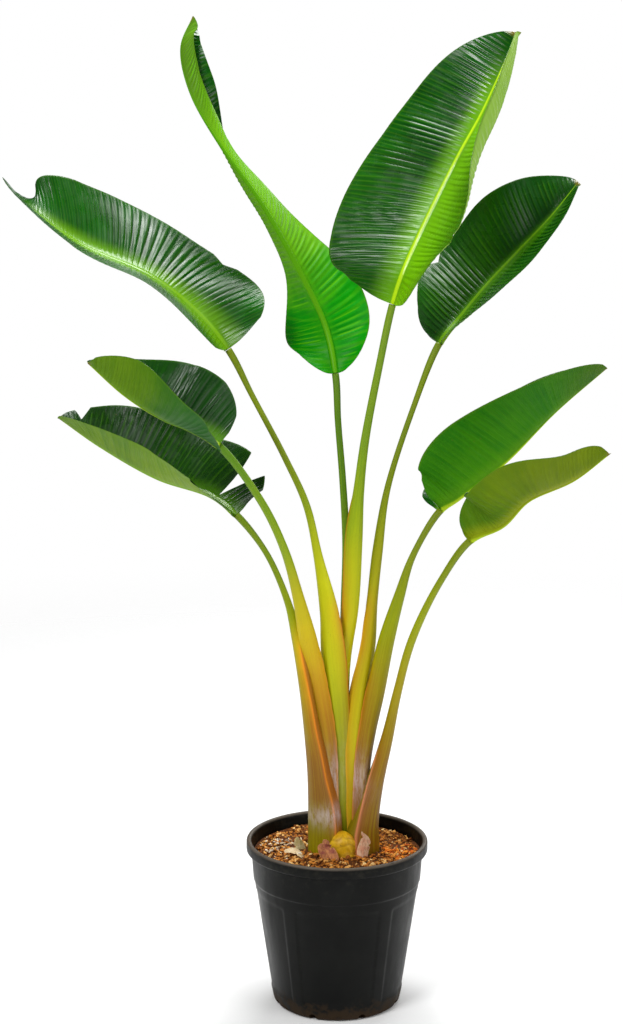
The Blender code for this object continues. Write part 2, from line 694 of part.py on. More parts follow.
def build_plant():
    soil = build_soil()
    rootstock = ring_solid("rootstock", sweep_rings(ROOTSTOCK, 16, 16), FINISH["rootstock"])
    names = list(LEAVES)
    for index, name in enumerate(names):
        leaf = LEAVES[name]
        stalk = ring_solid("stalk_" + name, stalk_rings(leaf), FINISH["stalk"])
        inner = []
        for other in reversed(names[:index]):
            inner.append(ring_solid("inner_" + other, stalk_rings(LEAVES[other], GAP), None))
        if inner:
            cut(stalk, inner)
        blade_solid(
            "blade_" + name, leaf, leaf["stalk"][-1][:3], BLADE_THICKNESS, KEEL_RADIUS,
            BLADE_ROWS, FINISH["blade"], JOINT_GAP,
        )
    cut(rootstock, [ring_solid("socket_" + name, stalk_rings(LEAVES[name], GAP), None) for name in names])
    holes = [ring_solid("hole_root", sweep_rings(ROOTSTOCK, 16, 16, MIX_GAP), None)]
    holes += [ring_solid("hole_" + name, stalk_rings(LEAVES[name], MIX_GAP), None) for name in names]
    for name, spec in DRY_SHEATHS.items():
        dry_solid(name, spec)
        holes.append(dry_solid("hole_" + name, spec, GAP))
    cut(soil, reversed(holes))


clear_scene()
build_pot()
build_plant()
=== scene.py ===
import math

import bmesh
import bpy
import numpy as np
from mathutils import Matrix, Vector


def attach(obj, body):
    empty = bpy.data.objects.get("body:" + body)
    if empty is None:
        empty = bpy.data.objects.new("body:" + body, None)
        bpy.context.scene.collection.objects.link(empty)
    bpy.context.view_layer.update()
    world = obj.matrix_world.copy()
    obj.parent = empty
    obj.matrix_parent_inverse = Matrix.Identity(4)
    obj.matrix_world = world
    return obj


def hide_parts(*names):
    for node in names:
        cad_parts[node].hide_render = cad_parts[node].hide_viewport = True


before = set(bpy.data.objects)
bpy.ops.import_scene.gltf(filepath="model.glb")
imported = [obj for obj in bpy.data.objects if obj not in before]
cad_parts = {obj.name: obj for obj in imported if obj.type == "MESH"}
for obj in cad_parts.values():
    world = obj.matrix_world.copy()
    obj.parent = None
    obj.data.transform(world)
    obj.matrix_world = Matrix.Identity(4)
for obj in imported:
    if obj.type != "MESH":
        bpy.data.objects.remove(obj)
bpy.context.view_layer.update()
print("frame loaded:", len(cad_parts), "solids")


def paint(value):
    # the tables hold colours as three display values from 0 to 255; sockets take them as linear colour
    if not isinstance(value, tuple) or len(value) != 3:
        return value
    parts = [v / 255 for v in value]
    linear = [p / 12.92 if p <= 0.04045 else ((p + 0.055) / 1.055) ** 2.4 for p in parts]
    return (*linear, 1.0)


def unit(v):
    return v / np.maximum(np.linalg.norm(v, axis=-1, keepdims=True), 1e-12)


def smooth(x, low, high):
    t = np.clip((x - low) / (high - low), 0, 1)
    return t * t * (3 - 2 * t)


def softNoise(x, y, seed):
    # value noise on a plane, from -1 to 1
    table = np.random.default_rng(seed).uniform(-1, 1, (64, 64))
    ix, iy = np.floor(x).astype(int), np.floor(y).astype(int)
    fx, fy = x - ix, y - iy
    fx, fy = fx * fx * (3 - 2 * fx), fy * fy * (3 - 2 * fy)
    a, b = table[ix % 64, iy % 64], table[(ix + 1) % 64, iy % 64]
    c, d = table[ix % 64, (iy + 1) % 64], table[(ix + 1) % 64, (iy + 1) % 64]
    return (a * (1 - fx) + b * fx) * (1 - fy) + (c * (1 - fx) + d * fx) * fy


def curveThrough(points, lead=None, follow=None):
    # centripetal curve through the points, with its running length
    p = np.asarray(points, float)
    first = 2 * p[0] - p[1] if lead is None else np.asarray(lead, float)
    last = 2 * p[-1] - p[-2] if follow is None else np.asarray(follow, float)
    q = np.vstack([first, p, last])
    parts = []
    for i in range(1, len(q) - 2):
        a, b, c, d = q[i - 1:i + 3]
        t1 = np.linalg.norm((b - a)[:3]) ** 0.5
        t2 = t1 + np.linalg.norm((c - b)[:3]) ** 0.5
        t3 = t2 + np.linalg.norm((d - c)[:3]) ** 0.5
        t = np.linspace(t1, t2, 24, endpoint=False)[:, None]
        ab = (t1 - t) / t1 * a + t / t1 * b
        bc = (t2 - t) / (t2 - t1) * b + (t - t1) / (t2 - t1) * c
        cd = (t3 - t) / (t3 - t2) * c + (t - t2) / (t3 - t2) * d
        abc = (t2 - t) / t2 * ab + t / t2 * bc
        bcd = (t3 - t) / (t3 - t1) * bc + (t - t1) / (t3 - t1) * cd
        parts.append((t2 - t) / (t2 - t1) * abc + (t - t1) / (t2 - t1) * bcd)
    curve = np.vstack(parts + [p[-1:]])
    steps = np.linalg.norm(np.diff(curve[:, :3], axis=0), axis=1)
    return curve, np.concatenate([[0.0], np.cumsum(steps)])


def sampleCurve(curve, run, places):
    at = np.asarray(places) * run[-1]
    return np.stack([np.interp(at, run, curve[:, k]) for k in range(curve.shape[1])], 1)


def ramp(values, s):
    # smooth run through evenly spaced values
    v = np.asarray(values, float)
    x = s * (len(v) - 1)
    i = np.clip(x.astype(int), 0, len(v) - 2)
    f = x - i
    slope = np.gradient(v)
    start = (2 * f**3 - 3 * f**2 + 1) * v[i] + (f**3 - 2 * f**2 + f) * slope[i]
    return start + (3 * f**2 - 2 * f**3) * v[i + 1] + (f**3 - f**2) * slope[i + 1]


def meshPiece(name, verts, faces, materials, slots=None, flat=None, marks=None):
    # slots are material numbers by face, flat faces are not smoothed, marks are values by point
    mesh = bpy.data.meshes.new(name)
    mesh.from_pydata(np.asarray(verts, float).tolist(), [], [tuple(f) for f in faces])
    for material in materials:
        mesh.materials.append(material)
    if slots is not None:
        mesh.polygons.foreach_set("material_index", np.asarray(slots, np.int32))
    shade = np.ones(len(mesh.polygons), bool) if flat is None else ~np.asarray(flat, bool)
    mesh.polygons.foreach_set("use_smooth", shade)
    for label, values in (marks or {}).items():
        values = np.asarray(values, np.float32)
        kind, key = ("FLOAT", "value") if values.ndim == 1 else ("FLOAT_VECTOR", "vector")
        mesh.attributes.new(label, kind, "POINT").data.foreach_set(key, values.ravel())
    mesh.update()
    piece = bpy.data.objects.new(name, mesh)
    bpy.context.scene.collection.objects.link(piece)
    return piece


def gridFaces(rows, columns, start=0, closed=False):
    # quads of a grid of points; closed joins the last column to the first
    wide = columns if closed else columns - 1
    i, j = np.meshgrid(np.arange(rows - 1), np.arange(wide), indexing="ij")
    a = (start + i * columns + j).ravel()
    b = (start + i * columns + (j + 1) % columns).ravel()
    return np.stack([a, b, b + columns, a + columns], 1)


def settle(piece, slot, *nodes):
    # every piece rides on the one body, and takes the place of the solids it stands for
    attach(piece, "root")
    if nodes:
        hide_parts(*nodes)
    return piece


# Short ways of laying out shader nodes.
def put(tree, kind, inputs=None, **settings):
    made = tree.nodes.new(kind)
    for key, value in settings.items():
        setattr(made, key, value)
    for key, value in (inputs or {}).items():
        if isinstance(value, bpy.types.NodeSocket):
            tree.links.new(value, made.inputs[key])
        else:
            made.inputs[key].default_value = value
    return made


def calc(tree, operation, a, b=0.5, clamp=False):
    return put(tree, "ShaderNodeMath", {0: a, 1: b}, operation=operation, use_clamp=clamp).outputs[0]


def times(tree, a, b, clamp=False):
    return calc(tree, "MULTIPLY", a, b, clamp)


def plus(tree, a, b, clamp=False):
    return calc(tree, "ADD", a, b, clamp)


def drift(tree, value, amount):
    # a cloud of 0 to 1 as a small shift to either side
    return times(tree, calc(tree, "SUBTRACT", value, 0.5), amount)


def blendColour(tree, factor, a, b):
    inputs = {0: factor, 6: paint(a), 7: paint(b)}
    return put(tree, "ShaderNodeMix", inputs, data_type="RGBA").outputs[2]


def layered(tree, colour, *coats):
    # lays colours over the first one, each by its own mask
    for factor, coat in coats:
        colour = blendColour(tree, factor, colour, coat)
    return colour


def remap(tree, value, low, high, toLow=0.0, toHigh=1.0):
    inputs = {0: value, 1: low, 2: high, 3: toLow, 4: toHigh}
    return put(tree, "ShaderNodeMapRange", inputs, interpolation_type="SMOOTHSTEP").outputs[0]


def mark(tree, label, output="Fac"):
    return put(tree, "ShaderNodeAttribute", attribute_name=label).outputs[output]


def noise(tree, vector, scale, detail=3.0, roughness=0.55, distortion=0.0):
    inputs = {"Vector": vector, "Scale": scale, "Detail": detail, "Roughness": roughness}
    return put(tree, "ShaderNodeTexNoise", {**inputs, "Distortion": distortion}).outputs[0]


def stretched(tree, vector, x, y, z):
    return put(tree, "ShaderNodeMapping", {"Vector": vector, "Scale": (x, y, z)}).outputs[0]


def objectPlace(tree):
    return put(tree, "ShaderNodeTexCoord").outputs["Object"]


def ramped(tree, factor, stops):
    made = put(tree, "ShaderNodeValToRGB", {0: factor})
    points = made.color_ramp.elements
    while len(points) < len(stops):
        points.new(0.5)
    for point, (place, colour) in zip(points, stops):
        point.position = place
        point.color = paint(colour)
    return made.outputs[0]


def newGroup(name, inputs, outputs):
    tree = bpy.data.node_groups.new(name, "ShaderNodeTree")
    for label, value in inputs.items():
        kind = "NodeSocketColor" if isinstance(value, tuple) else "NodeSocketFloat"
        socket = tree.interface.new_socket(name=label, in_out="INPUT", socket_type=kind)
        socket.default_value = paint(value)
    for label in outputs:
        kind = "NodeSocketColor" if label.endswith("Colour") else "NodeSocketFloat"
        tree.interface.new_socket(name=label, in_out="OUTPUT", socket_type=kind)
    return tree, tree.nodes.new("NodeGroupInput").outputs, tree.nodes.new("NodeGroupOutput").inputs


def newMaterial(name, roughness=0.5, specular=0.5):
    material = bpy.data.materials.new(name)
    material.use_nodes = True
    tree = material.node_tree
    shader = tree.nodes["Principled BSDF"]
    shader.inputs["Roughness"].default_value = roughness
    shader.inputs["Specular IOR Level"].default_value = specular
    return material, tree, shader.inputs


def finishWith(tree, sockets, colour, roughness=None, height=None, depth=0.0003):
    # links the finish to the shader; the height is a bump as deep as the depth
    tree.links.new(colour, sockets["Base Color"])
    if roughness is not None:
        tree.links.new(roughness, sockets["Roughness"])
    if height is not None:
        bump = put(tree, "ShaderNodeBump", {"Height": height, "Distance": depth, "Strength": 1.0})
        tree.links.new(bump.outputs[0], sockets["Normal"])


# A leaf's upper face; its lower face and each leaf of its own change some of these.
leafTop = {
    "Deep": (0, 50, 0), "Mid": (10, 92, 2), "Far Deep": (0, 50, 0), "Far Mid": (10, 92, 2),
    "Change From": 0.4, "Change To": 0.6, "Lime": (100, 164, 0), "Lime Share": 1.0,
    "Rib": (190, 226, 16), "Margin": (54, 104, 8), "Tip": (110, 100, 25), "End": (84, 130, 16),
    "End Share": 0.0, "Ripple Painted Shade": 0.45, "Sheen Stripes": 0.0, "Fine Veins": 0.3, "Base Roughness": 0.25,
}


def leafSkinGroup():
    # living leaf: two body colours that may change along it, lime by the rib, veins, margin and tip,
    # painted shading on the vein ripples and painted sheen on their crests
    tree, given, out = newGroup("leafSkin", leafTop, ("Colour", "Roughness", "Height"))
    place = objectPlace(tree)
    cloud = noise(tree, place, 11.0, 4.0, 0.6)
    ripple, fineVein = mark(tree, "ripple"), mark(tree, "fineVein")
    wander = plus(tree, mark(tree, "along"), drift(tree, cloud, 0.16))
    change = remap(tree, wander, given["Change From"], given["Change To"])
    deep = blendColour(tree, change, given["Deep"], given["Far Deep"])
    middle = blendColour(tree, change, given["Mid"], given["Far Mid"])
    tone = times(tree, mark(tree, "panelTone"), 0.30)
    body = plus(tree, remap(tree, cloud, 0.32, 0.75, 0.0, 0.65), tone, True)
    lines = times(tree, remap(tree, fineVein, 0.1, 1.0), times(tree, given["Fine Veins"], 0.4))
    patchy = times(tree, mark(tree, "ribZone"), remap(tree, cloud, 0.2, 0.6, 0.7, 1.0), True)
    specks = remap(tree, noise(tree, place, 260.0, 1.0, 0.4), 0.76, 0.82, 0.0, 0.35)
    colour = layered(
        tree, blendColour(tree, body, deep, middle),
        (times(tree, remap(tree, wander, 0.62, 0.84), given["End Share"]), given["End"]),
        # painted shade: ripple crests go towards the lighter body colour and the hollows between them
        # stay deeper
        (times(tree, remap(tree, ripple, -0.1, 1.0), given["Ripple Painted Shade"]), middle),
        # painted sheen: lime laid on the ripple crests as pale stripes where a gloss highlight would run
        (times(tree, remap(tree, ripple, 0.35, 1.0), given["Sheen Stripes"]), given["Lime"]),
        (lines, given["Lime"]),
        (times(tree, patchy, given["Lime Share"]), given["Lime"]),
        (mark(tree, "ribLine"), given["Rib"]),
        (times(tree, mark(tree, "margin"), 0.7), given["Margin"]),
        (mark(tree, "dryTip"), given["Tip"]),
        (specks, (95, 80, 30)))
    tree.links.new(colour, out["Colour"])
    grime = noise(tree, place, 38.0, 3.0, 0.6)
    rough = plus(tree, given["Base Roughness"], remap(tree, grime, 0.3, 0.8, -0.05, 0.10))
    tree.links.new(rough, out["Roughness"])
    skin = times(tree, noise(tree, place, 700.0, 2.0, 0.5), 0.2)
    tree.links.new(plus(tree, times(tree, fineVein, given["Fine Veins"]), skin), out["Height"])
    return tree


def fibreGroup():
    # lengthwise fibres, brown specks and wax on stalks; the bloom mark says where the wax lies
    outputs = ("Streak", "Speck", "Wax", "Height")
    tree, given, out = newGroup("stalkFibre", {"Streaks": 0.5, "Wax": 0.5}, outputs)
    skin = mark(tree, "skin", "Vector")
    long = noise(tree, stretched(tree, skin, 9.0, 9.0, 7.0), 1.0, 5.0, 0.6, 0.3)
    thin = noise(tree, stretched(tree, skin, 34.0, 34.0, 16.0), 1.0, 3.0, 0.6)
    mixed = plus(tree, times(tree, long, 0.65), times(tree, thin, 0.35))
    streak = times(tree, remap(tree, mixed, 0.36, 0.66), given["Streaks"])
    tree.links.new(streak, out["Streak"])
    dots = noise(tree, stretched(tree, skin, 26.0, 26.0, 260.0), 1.0, 2.0, 0.5)
    tree.links.new(remap(tree, dots, 0.68, 0.76, 0.0, 0.6), out["Speck"])
    powder = noise(tree, stretched(tree, skin, 5.0, 5.0, 60.0), 1.0, 5.0, 0.7)
    wax = times(tree, mark(tree, "bloom"), remap(tree, powder, 0.3, 0.62))
    tree.links.new(times(tree, wax, given["Wax"], True), out["Wax"])
    tree.links.new(plus(tree, times(tree, thin, 0.6), times(tree, long, 0.4)), out["Height"])
    return tree


def dustGroup():
    # settled dust: patchy, denser where the mask is high
    tree, given, out = newGroup("dust", {"Mask": 0.5, "Scale": 30.0, "Sharpness": 0.2}, ("Amount",))
    cloud = noise(tree, objectPlace(tree), given["Scale"], 6.0, 0.68)
    low = calc(tree, "SUBTRACT", 0.62, times(tree, given["Mask"], 0.4))
    amount = remap(tree, cloud, low, plus(tree, low, given["Sharpness"]))
    tree.links.new(times(tree, amount, given["Mask"], True), out["Amount"])
    return tree


leafSkin = leafSkinGroup()
stalkFibre = fibreGroup()
dust = dustGroup()
print("shared node groups ready")

# Leaves. Each stalk is a route of (x, y, z, half width, half depth); each rib is a route of points. Roll
# is the upper face's turn about the rib; fold, curl and sweep are degrees from base to tip; a tear is
# (place along the rib, depth as a share of the half, half length along the rib).
leafShapes = {
    "twisted": {
        "stalk": [
            (0.008, 0.03, 0.192, 0.0071, 0.007), (0.008, 0.028, 0.395, 0.0071, 0.0065),
            (0.011, 0.027, 0.579, 0.0066, 0.006), (0.013, 0.029, 0.691, 0.006, 0.0056),
            (0.008, 0.037, 0.785, 0.0054, 0.0052), (0.001, 0.053, 0.871, 0.0051, 0.005),
        ],
        "rib": [
            (-0.003, 0.067, 0.937), (-0.018, 0.096, 1.006), (-0.056, 0.109, 1.085),
            (-0.109, 0.115, 1.179), (-0.171, 0.121, 1.267), (-0.214, 0.129, 1.342),
            (-0.228, 0.145, 1.405), (-0.212, 0.175, 1.451),
        ],
        "roll": [187, 176, 176, 167, 102, 65], "halfWidth": 0.092,
        "narrowing": [1, 0.95, 0.68, 0.58, 0.75, 1],
        "left": {
            "fold": [-10, 48, 63, 63, 54], "curl": [-50, 5, 33, 34, 34], "sweep": [-1, 20, 42, 54, 35],
        },
        "right": {
            "fold": [7, 63, 61, 63, 63], "curl": [-50, 5, 26, 34, 34], "sweep": [11, 6, 6, 7, 14],
        },
    },
    "broad": {
        "stalk": [
            (0.009, 0.02, 0.198, 0.0108, 0.011), (0.007, 0.02, 0.367, 0.0106, 0.011),
            (0.008, 0.018, 0.505, 0.011, 0.0115), (0.0185, 0.015, 0.6, 0.0132, 0.0122),
            (0.023, 0.013, 0.7, 0.0135, 0.012), (0.03, 0.013, 0.771, 0.0085, 0.008),
            (0.039, 0.014, 0.847, 0.0066, 0.0058), (0.059, 0.017, 0.954, 0.0057, 0.0052),
        ],
        "rib": [
            (0.078, 0.022, 1.042), (0.091, 0.018, 1.085), (0.113, 0.03, 1.135), (0.142, 0.039, 1.195),
            (0.173, 0.05, 1.255), (0.208, 0.076, 1.316), (0.26, 0.116, 1.427),
        ],
        "roll": [43, 31, 31, 25, 31], "halfWidth": 0.143, "narrowing": [1, 1],
        "left": {"fold": [10, 4, -1, 23], "curl": [0, -8, -15, -4], "sweep": [-9, -18, -4, 12, 12]},
        "right": {
            "fold": [34, 20, 28, 35], "curl": [19, 53, 85, 70], "sweep": [0, -2, 6, 16, 11],
            "tears": [(0.27, 0.06, 0.03)],
        },
    },
    "upper_right": {
        "stalk": [
            (0.022, 0.007, 0.197, 0.013, 0.012), (0.022, 0.006, 0.32, 0.0135, 0.012),
            (0.0235, 0.005, 0.409, 0.015, 0.0125), (0.0305, 0.01, 0.472, 0.0145, 0.0115),
            (0.044, 0.02, 0.535, 0.0118, 0.0095), (0.051, 0.03, 0.606, 0.0085, 0.0078),
            (0.059, 0.041, 0.679, 0.008, 0.0064), (0.073, 0.054, 0.767, 0.0051, 0.005),
            (0.11, 0.07, 0.883, 0.0044, 0.0044),
        ],
        "rib": [
            (0.149, 0.08, 0.98), (0.182, 0.101, 1.019), (0.219, 0.114, 1.062), (0.265, 0.126, 1.11),
            (0.315, 0.136, 1.162), (0.356, 0.147, 1.212),
        ],
        "roll": [55, 55, 42, 53], "halfWidth": 0.105, "narrowing": [1, 1],
        "left": {
            "fold": [48, 20, 40, 20], "curl": [16, -9, -7, -25], "sweep": [9, 11, 16, 26, 41],
            "tears": [(0.27, 0.1, 0.035)],
        },
        "right": {"fold": [39, 27, 34, 27], "curl": [7, 8, 19, 22], "sweep": [-18, -3, 6, 12, 13]},
    },
    "upper_left": {
        "stalk": [
            (0.003, 0.008, 0.202, 0.0157, 0.014), (0.005, 0.008, 0.296, 0.0157, 0.014),
            (0.006, 0.006, 0.402, 0.0155, 0.013), (0.001, 0.002, 0.479, 0.017, 0.012),
            (-0.0045, -0.001, 0.532, 0.0195, 0.0105), (-0.0115, -0.001, 0.596, 0.0145, 0.0085),
            (-0.028, 0.004, 0.678, 0.0072, 0.006), (-0.045, 0.012, 0.752, 0.0056, 0.0052),
            (-0.076, 0.02, 0.82, 0.0048, 0.0048), (-0.124, 0.029, 0.911, 0.0044, 0.0044),
        ],
        "rib": [
            (-0.158, 0.027, 0.977), (-0.203, 0.037, 1.031), (-0.268, 0.034, 1.083),
            (-0.363, 0.023, 1.127), (-0.431, 0.005, 1.177), (-0.472, 0.029, 1.214),
        ],
        "roll": [37, 63, 69, 96], "halfWidth": 0.121, "narrowing": [1, 1],
        "left": {"fold": [47, 30, 26, 11], "curl": [2, -5, -5, -9], "sweep": [-14, -7, 4, 19, 33]},
        "right": {
            "fold": [44, 16, 29, 1], "curl": [-8, -15, -1, -10], "sweep": [-7, -17, 14, 31, 8],
            "tears": [(0.27, 0.07, 0.03)],
        },
    },
    "middle_right": {
        "stalk": [
            (0.033, 0.0, 0.201, 0.0142, 0.017), (0.034, -0.002, 0.295, 0.0138, 0.016),
            (0.0365, -0.002, 0.362, 0.013, 0.014), (0.0445, -0.001, 0.419, 0.0135, 0.012),
            (0.0555, 0.001, 0.474, 0.014, 0.0108), (0.071, 0.004, 0.551, 0.0122, 0.009),
            (0.09, 0.009, 0.617, 0.0085, 0.007), (0.11, 0.016, 0.676, 0.0051, 0.005),
        ],
        "rib": [
            (0.15, 0.03, 0.74), (0.177, 0.044, 0.757), (0.246, 0.061, 0.808), (0.321, 0.076, 0.881),
            (0.396, 0.093, 0.942),
        ],
        "roll": [113, 108, 88, 76], "halfWidth": 0.102, "narrowing": [1, 1],
        "left": {"fold": [40, 46, 27, 9], "curl": [5, 27, 10, -10], "sweep": [-10, 1, 14, 29, 45]},
        "right": {"fold": [66, 66, 51, 44], "curl": [13, 10, 5, 7], "sweep": [-22, -18, -7, 12, 32]},
    },
    "middle_left": {
        "stalk": [
            (-0.01, 0.002, 0.202, 0.0199, 0.019), (-0.012, 0.002, 0.297, 0.0199, 0.0185),
            (-0.018, 0.001, 0.402, 0.0199, 0.016), (-0.0285, -0.006, 0.476, 0.0172, 0.0125),
            (-0.043, -0.023, 0.56, 0.0138, 0.0095), (-0.0565, -0.041, 0.627, 0.0088, 0.007),
            (-0.076, -0.06, 0.7, 0.0064, 0.0054), (-0.108, -0.08, 0.773, 0.0058, 0.0048),
        ],
        "rib": [
            (-0.166, -0.102, 0.856), (-0.206, -0.123, 0.884), (-0.24, -0.145, 0.901),
            (-0.29, -0.163, 0.935), (-0.338, -0.18, 0.981),
        ],
        "roll": [45, 55, 82, 97], "halfWidth": 0.087, "narrowing": [1, 1],
        "left": {"fold": [42, 50, 59, 40], "curl": [8, 23, 23, 10], "sweep": [0, 10, 21, 30, 39]},
        "right": {"fold": [35, 45, 33, 12], "curl": [0, 8, -3, -20], "sweep": [-7, -11, -4, 11, 28]},
    },
    "lower_right": {
        "stalk": [
            (0.036, -0.006, 0.203, 0.0268, 0.0225), (0.037, -0.007, 0.252, 0.0262, 0.022),
            (0.0415, -0.008, 0.28, 0.0208, 0.0205), (0.054, -0.011, 0.335, 0.0142, 0.015),
            (0.072, -0.017, 0.406, 0.0094, 0.01), (0.087, -0.025, 0.481, 0.0068, 0.007),
            (0.107, -0.036, 0.562, 0.0061, 0.0056), (0.146, -0.056, 0.653, 0.0051, 0.0048),
        ],
        "rib": [
            (0.187, -0.076, 0.717), (0.23, -0.095, 0.743), (0.263, -0.116, 0.782),
            (0.323, -0.137, 0.814), (0.369, -0.153, 0.853),
        ],
        "roll": [91, 88, 88, 107], "halfWidth": 0.084, "narrowing": [1, 1],
        "left": {"fold": [22, 17, 12, 7], "curl": [4, -5, -13, -21], "sweep": [-21, -6, 8, 21, 33]},
        "right": {"fold": [64, 57, 43, 49], "curl": [40, 31, 19, 20], "sweep": [0, -1, 8, 24, 42]},
    },
    "lower_left": {
        "stalk": [
            (-0.017, -0.005, 0.203, 0.0262, 0.024), (-0.018, -0.006, 0.287, 0.0255, 0.023),
            (-0.0275, -0.011, 0.366, 0.0172, 0.0175), (-0.037, -0.016, 0.428, 0.0128, 0.0125),
            (-0.0475, -0.02, 0.497, 0.01, 0.0092), (-0.0595, -0.019, 0.564, 0.008, 0.007),
            (-0.073, -0.013, 0.616, 0.0055, 0.0053), (-0.104, -0.007, 0.686, 0.0046, 0.0046),
        ],
        "rib": [
            (-0.146, -0.004, 0.74), (-0.185, 0.029, 0.764), (-0.264, 0.055, 0.785),
            (-0.35, 0.075, 0.829), (-0.411, 0.092, 0.868),
        ],
        "roll": [42, 65, 69, 82], "halfWidth": 0.101, "narrowing": [1, 1],
        "left": {"fold": [46, 50, 51, 33], "curl": [11, 7, 2, -14], "sweep": [-4, 0, 2, 17, 34]},
        "right": {
            "fold": [38, 25, 40, 23], "curl": [-5, -8, 4, 0], "sweep": [-22, -14, 0, 21, 41],
            "tears": [(0.15, 0.93, 0.05), (0.88, 0.45, 0.035)],
        },
    },
}

# The keel is the half width of the rib at the leaf's base; halves narrower than flatBelow lie flatter.
bladeBuild = {
    "rows": 400, "columns": 22, "steps": 32, "thickness": 0.0007, "keel": 0.0052, "keelTaper": 0.82,
    "flatBelow": 0.022, "widestAt": 0.38, "veinSpacing": 0.0077, "veinHeight": 0.00056,
    "edgeWave": 0.0011, "limeWidth": 0.026, "jointGap": 0.0006,
    "top": {"bump": 0.00035, "specular": 0.42}, "under": {"bump": 0.00045, "specular": 0.1},
}


def leafOutline(s):
    # half width of the flat leaf along its rib, 1 at its widest
    widest = bladeBuild["widestAt"]
    before = np.clip(1 - s / widest, 0, 1)
    after = np.clip((s - widest) / (1 - widest), 0, 1)
    return np.where(s < widest, (1 - before**2.2) ** (1 / 2.2), (1 - after**2) ** 0.75)


def ribFrame(points, roll, s, lead):
    # points along the rib, with the leaf's own directions at each of them
    curve, run = curveThrough(points, lead=lead)
    rib = sampleCurve(curve, run, s)
    ahead, behind = np.clip(s + 0.01, 0, 1), np.clip(s - 0.01, 0, 1)
    tangent = unit(sampleCurve(curve, run, ahead) - sampleCurve(curve, run, behind))
    front = np.array([0.0, -1.0, 0.0])
    way = np.asarray(points[-1], float) - np.asarray(points[0], float)
    turn = 1.0 if np.cross(way, front)[2] > 0 else -1.0
    rise = unit(np.cross(tangent, front)) * turn
    facing = unit(front - (tangent @ front)[:, None] * tangent)
    angle = np.radians(ramp(roll, s))[:, None]
    normal = np.cos(angle) * facing + np.sin(angle) * rise
    return rib, tangent, normal, np.cross(tangent, normal), run[-1]


def halfBlade(shape, half, s, parts, shares):
    # points of one half, from the rib out to the margin, at the given shares of its width
    rib, tangent, normal, side = parts
    keel = shape["keel"] * (1 - bladeBuild["keelTaper"] * s)
    plain = np.maximum(shape["halfWidth"] * ramp(shape["narrowing"], s) * leafOutline(s), keel)
    full = plain.copy()
    for at, depth, length in half.get("tears", ()):
        full = full * (1 - depth * np.clip(1 - np.abs(s - at) / length, 0, 1))
    full = np.maximum(full, keel)
    flat = np.minimum(1, plain / bladeBuild["flatBelow"])
    fold = np.radians(ramp(half["fold"], s)) * flat
    curl = np.radians(ramp(half["curl"], s)) * flat
    sweep = np.radians(ramp(half["sweep"], s)) * np.minimum(1, s / 0.05)
    fine = bladeBuild["steps"]
    here = rib.copy()
    line = [here]
    for j in range(fine):
        mid = (j + 0.5) / fine
        lift = (fold * min(1.0, mid / 0.10) + curl * mid)[:, None]
        out = np.cos(lift) * side + np.sin(lift) * normal
        lean = (sweep * (0.75 + 0.5 * mid))[:, None]
        step = np.cos(lean) * out + np.sin(lean) * tangent
        here = here + step * (full / fine)[:, None]
        line.append(here)
    line = np.stack(line, 1)
    # near the rib the columns keep a fixed distance, so that the rib stays round
    near = np.array([0.32, 0.62, 0.86, 1.0, 1.2])
    grid = np.zeros((len(s), len(near) + len(shares), 3))
    gap = np.zeros(grid.shape[:2])
    rows = np.arange(len(s))
    inner = np.minimum(0.55, keel * near[-1] / full)
    for k in range(grid.shape[1]):
        if k < len(near):
            at = inner * near[k] / near[-1]
        else:
            at = inner + (1 - inner) * shares[k - len(near)]
        gap[:, k] = at * full
        low = np.minimum((at * fine).astype(int), fine - 1)
        part = (at * fine - low)[:, None]
        grid[:, k] = line[rows, low] * (1 - part) + line[rows, low + 1] * part
    return grid, gap, full


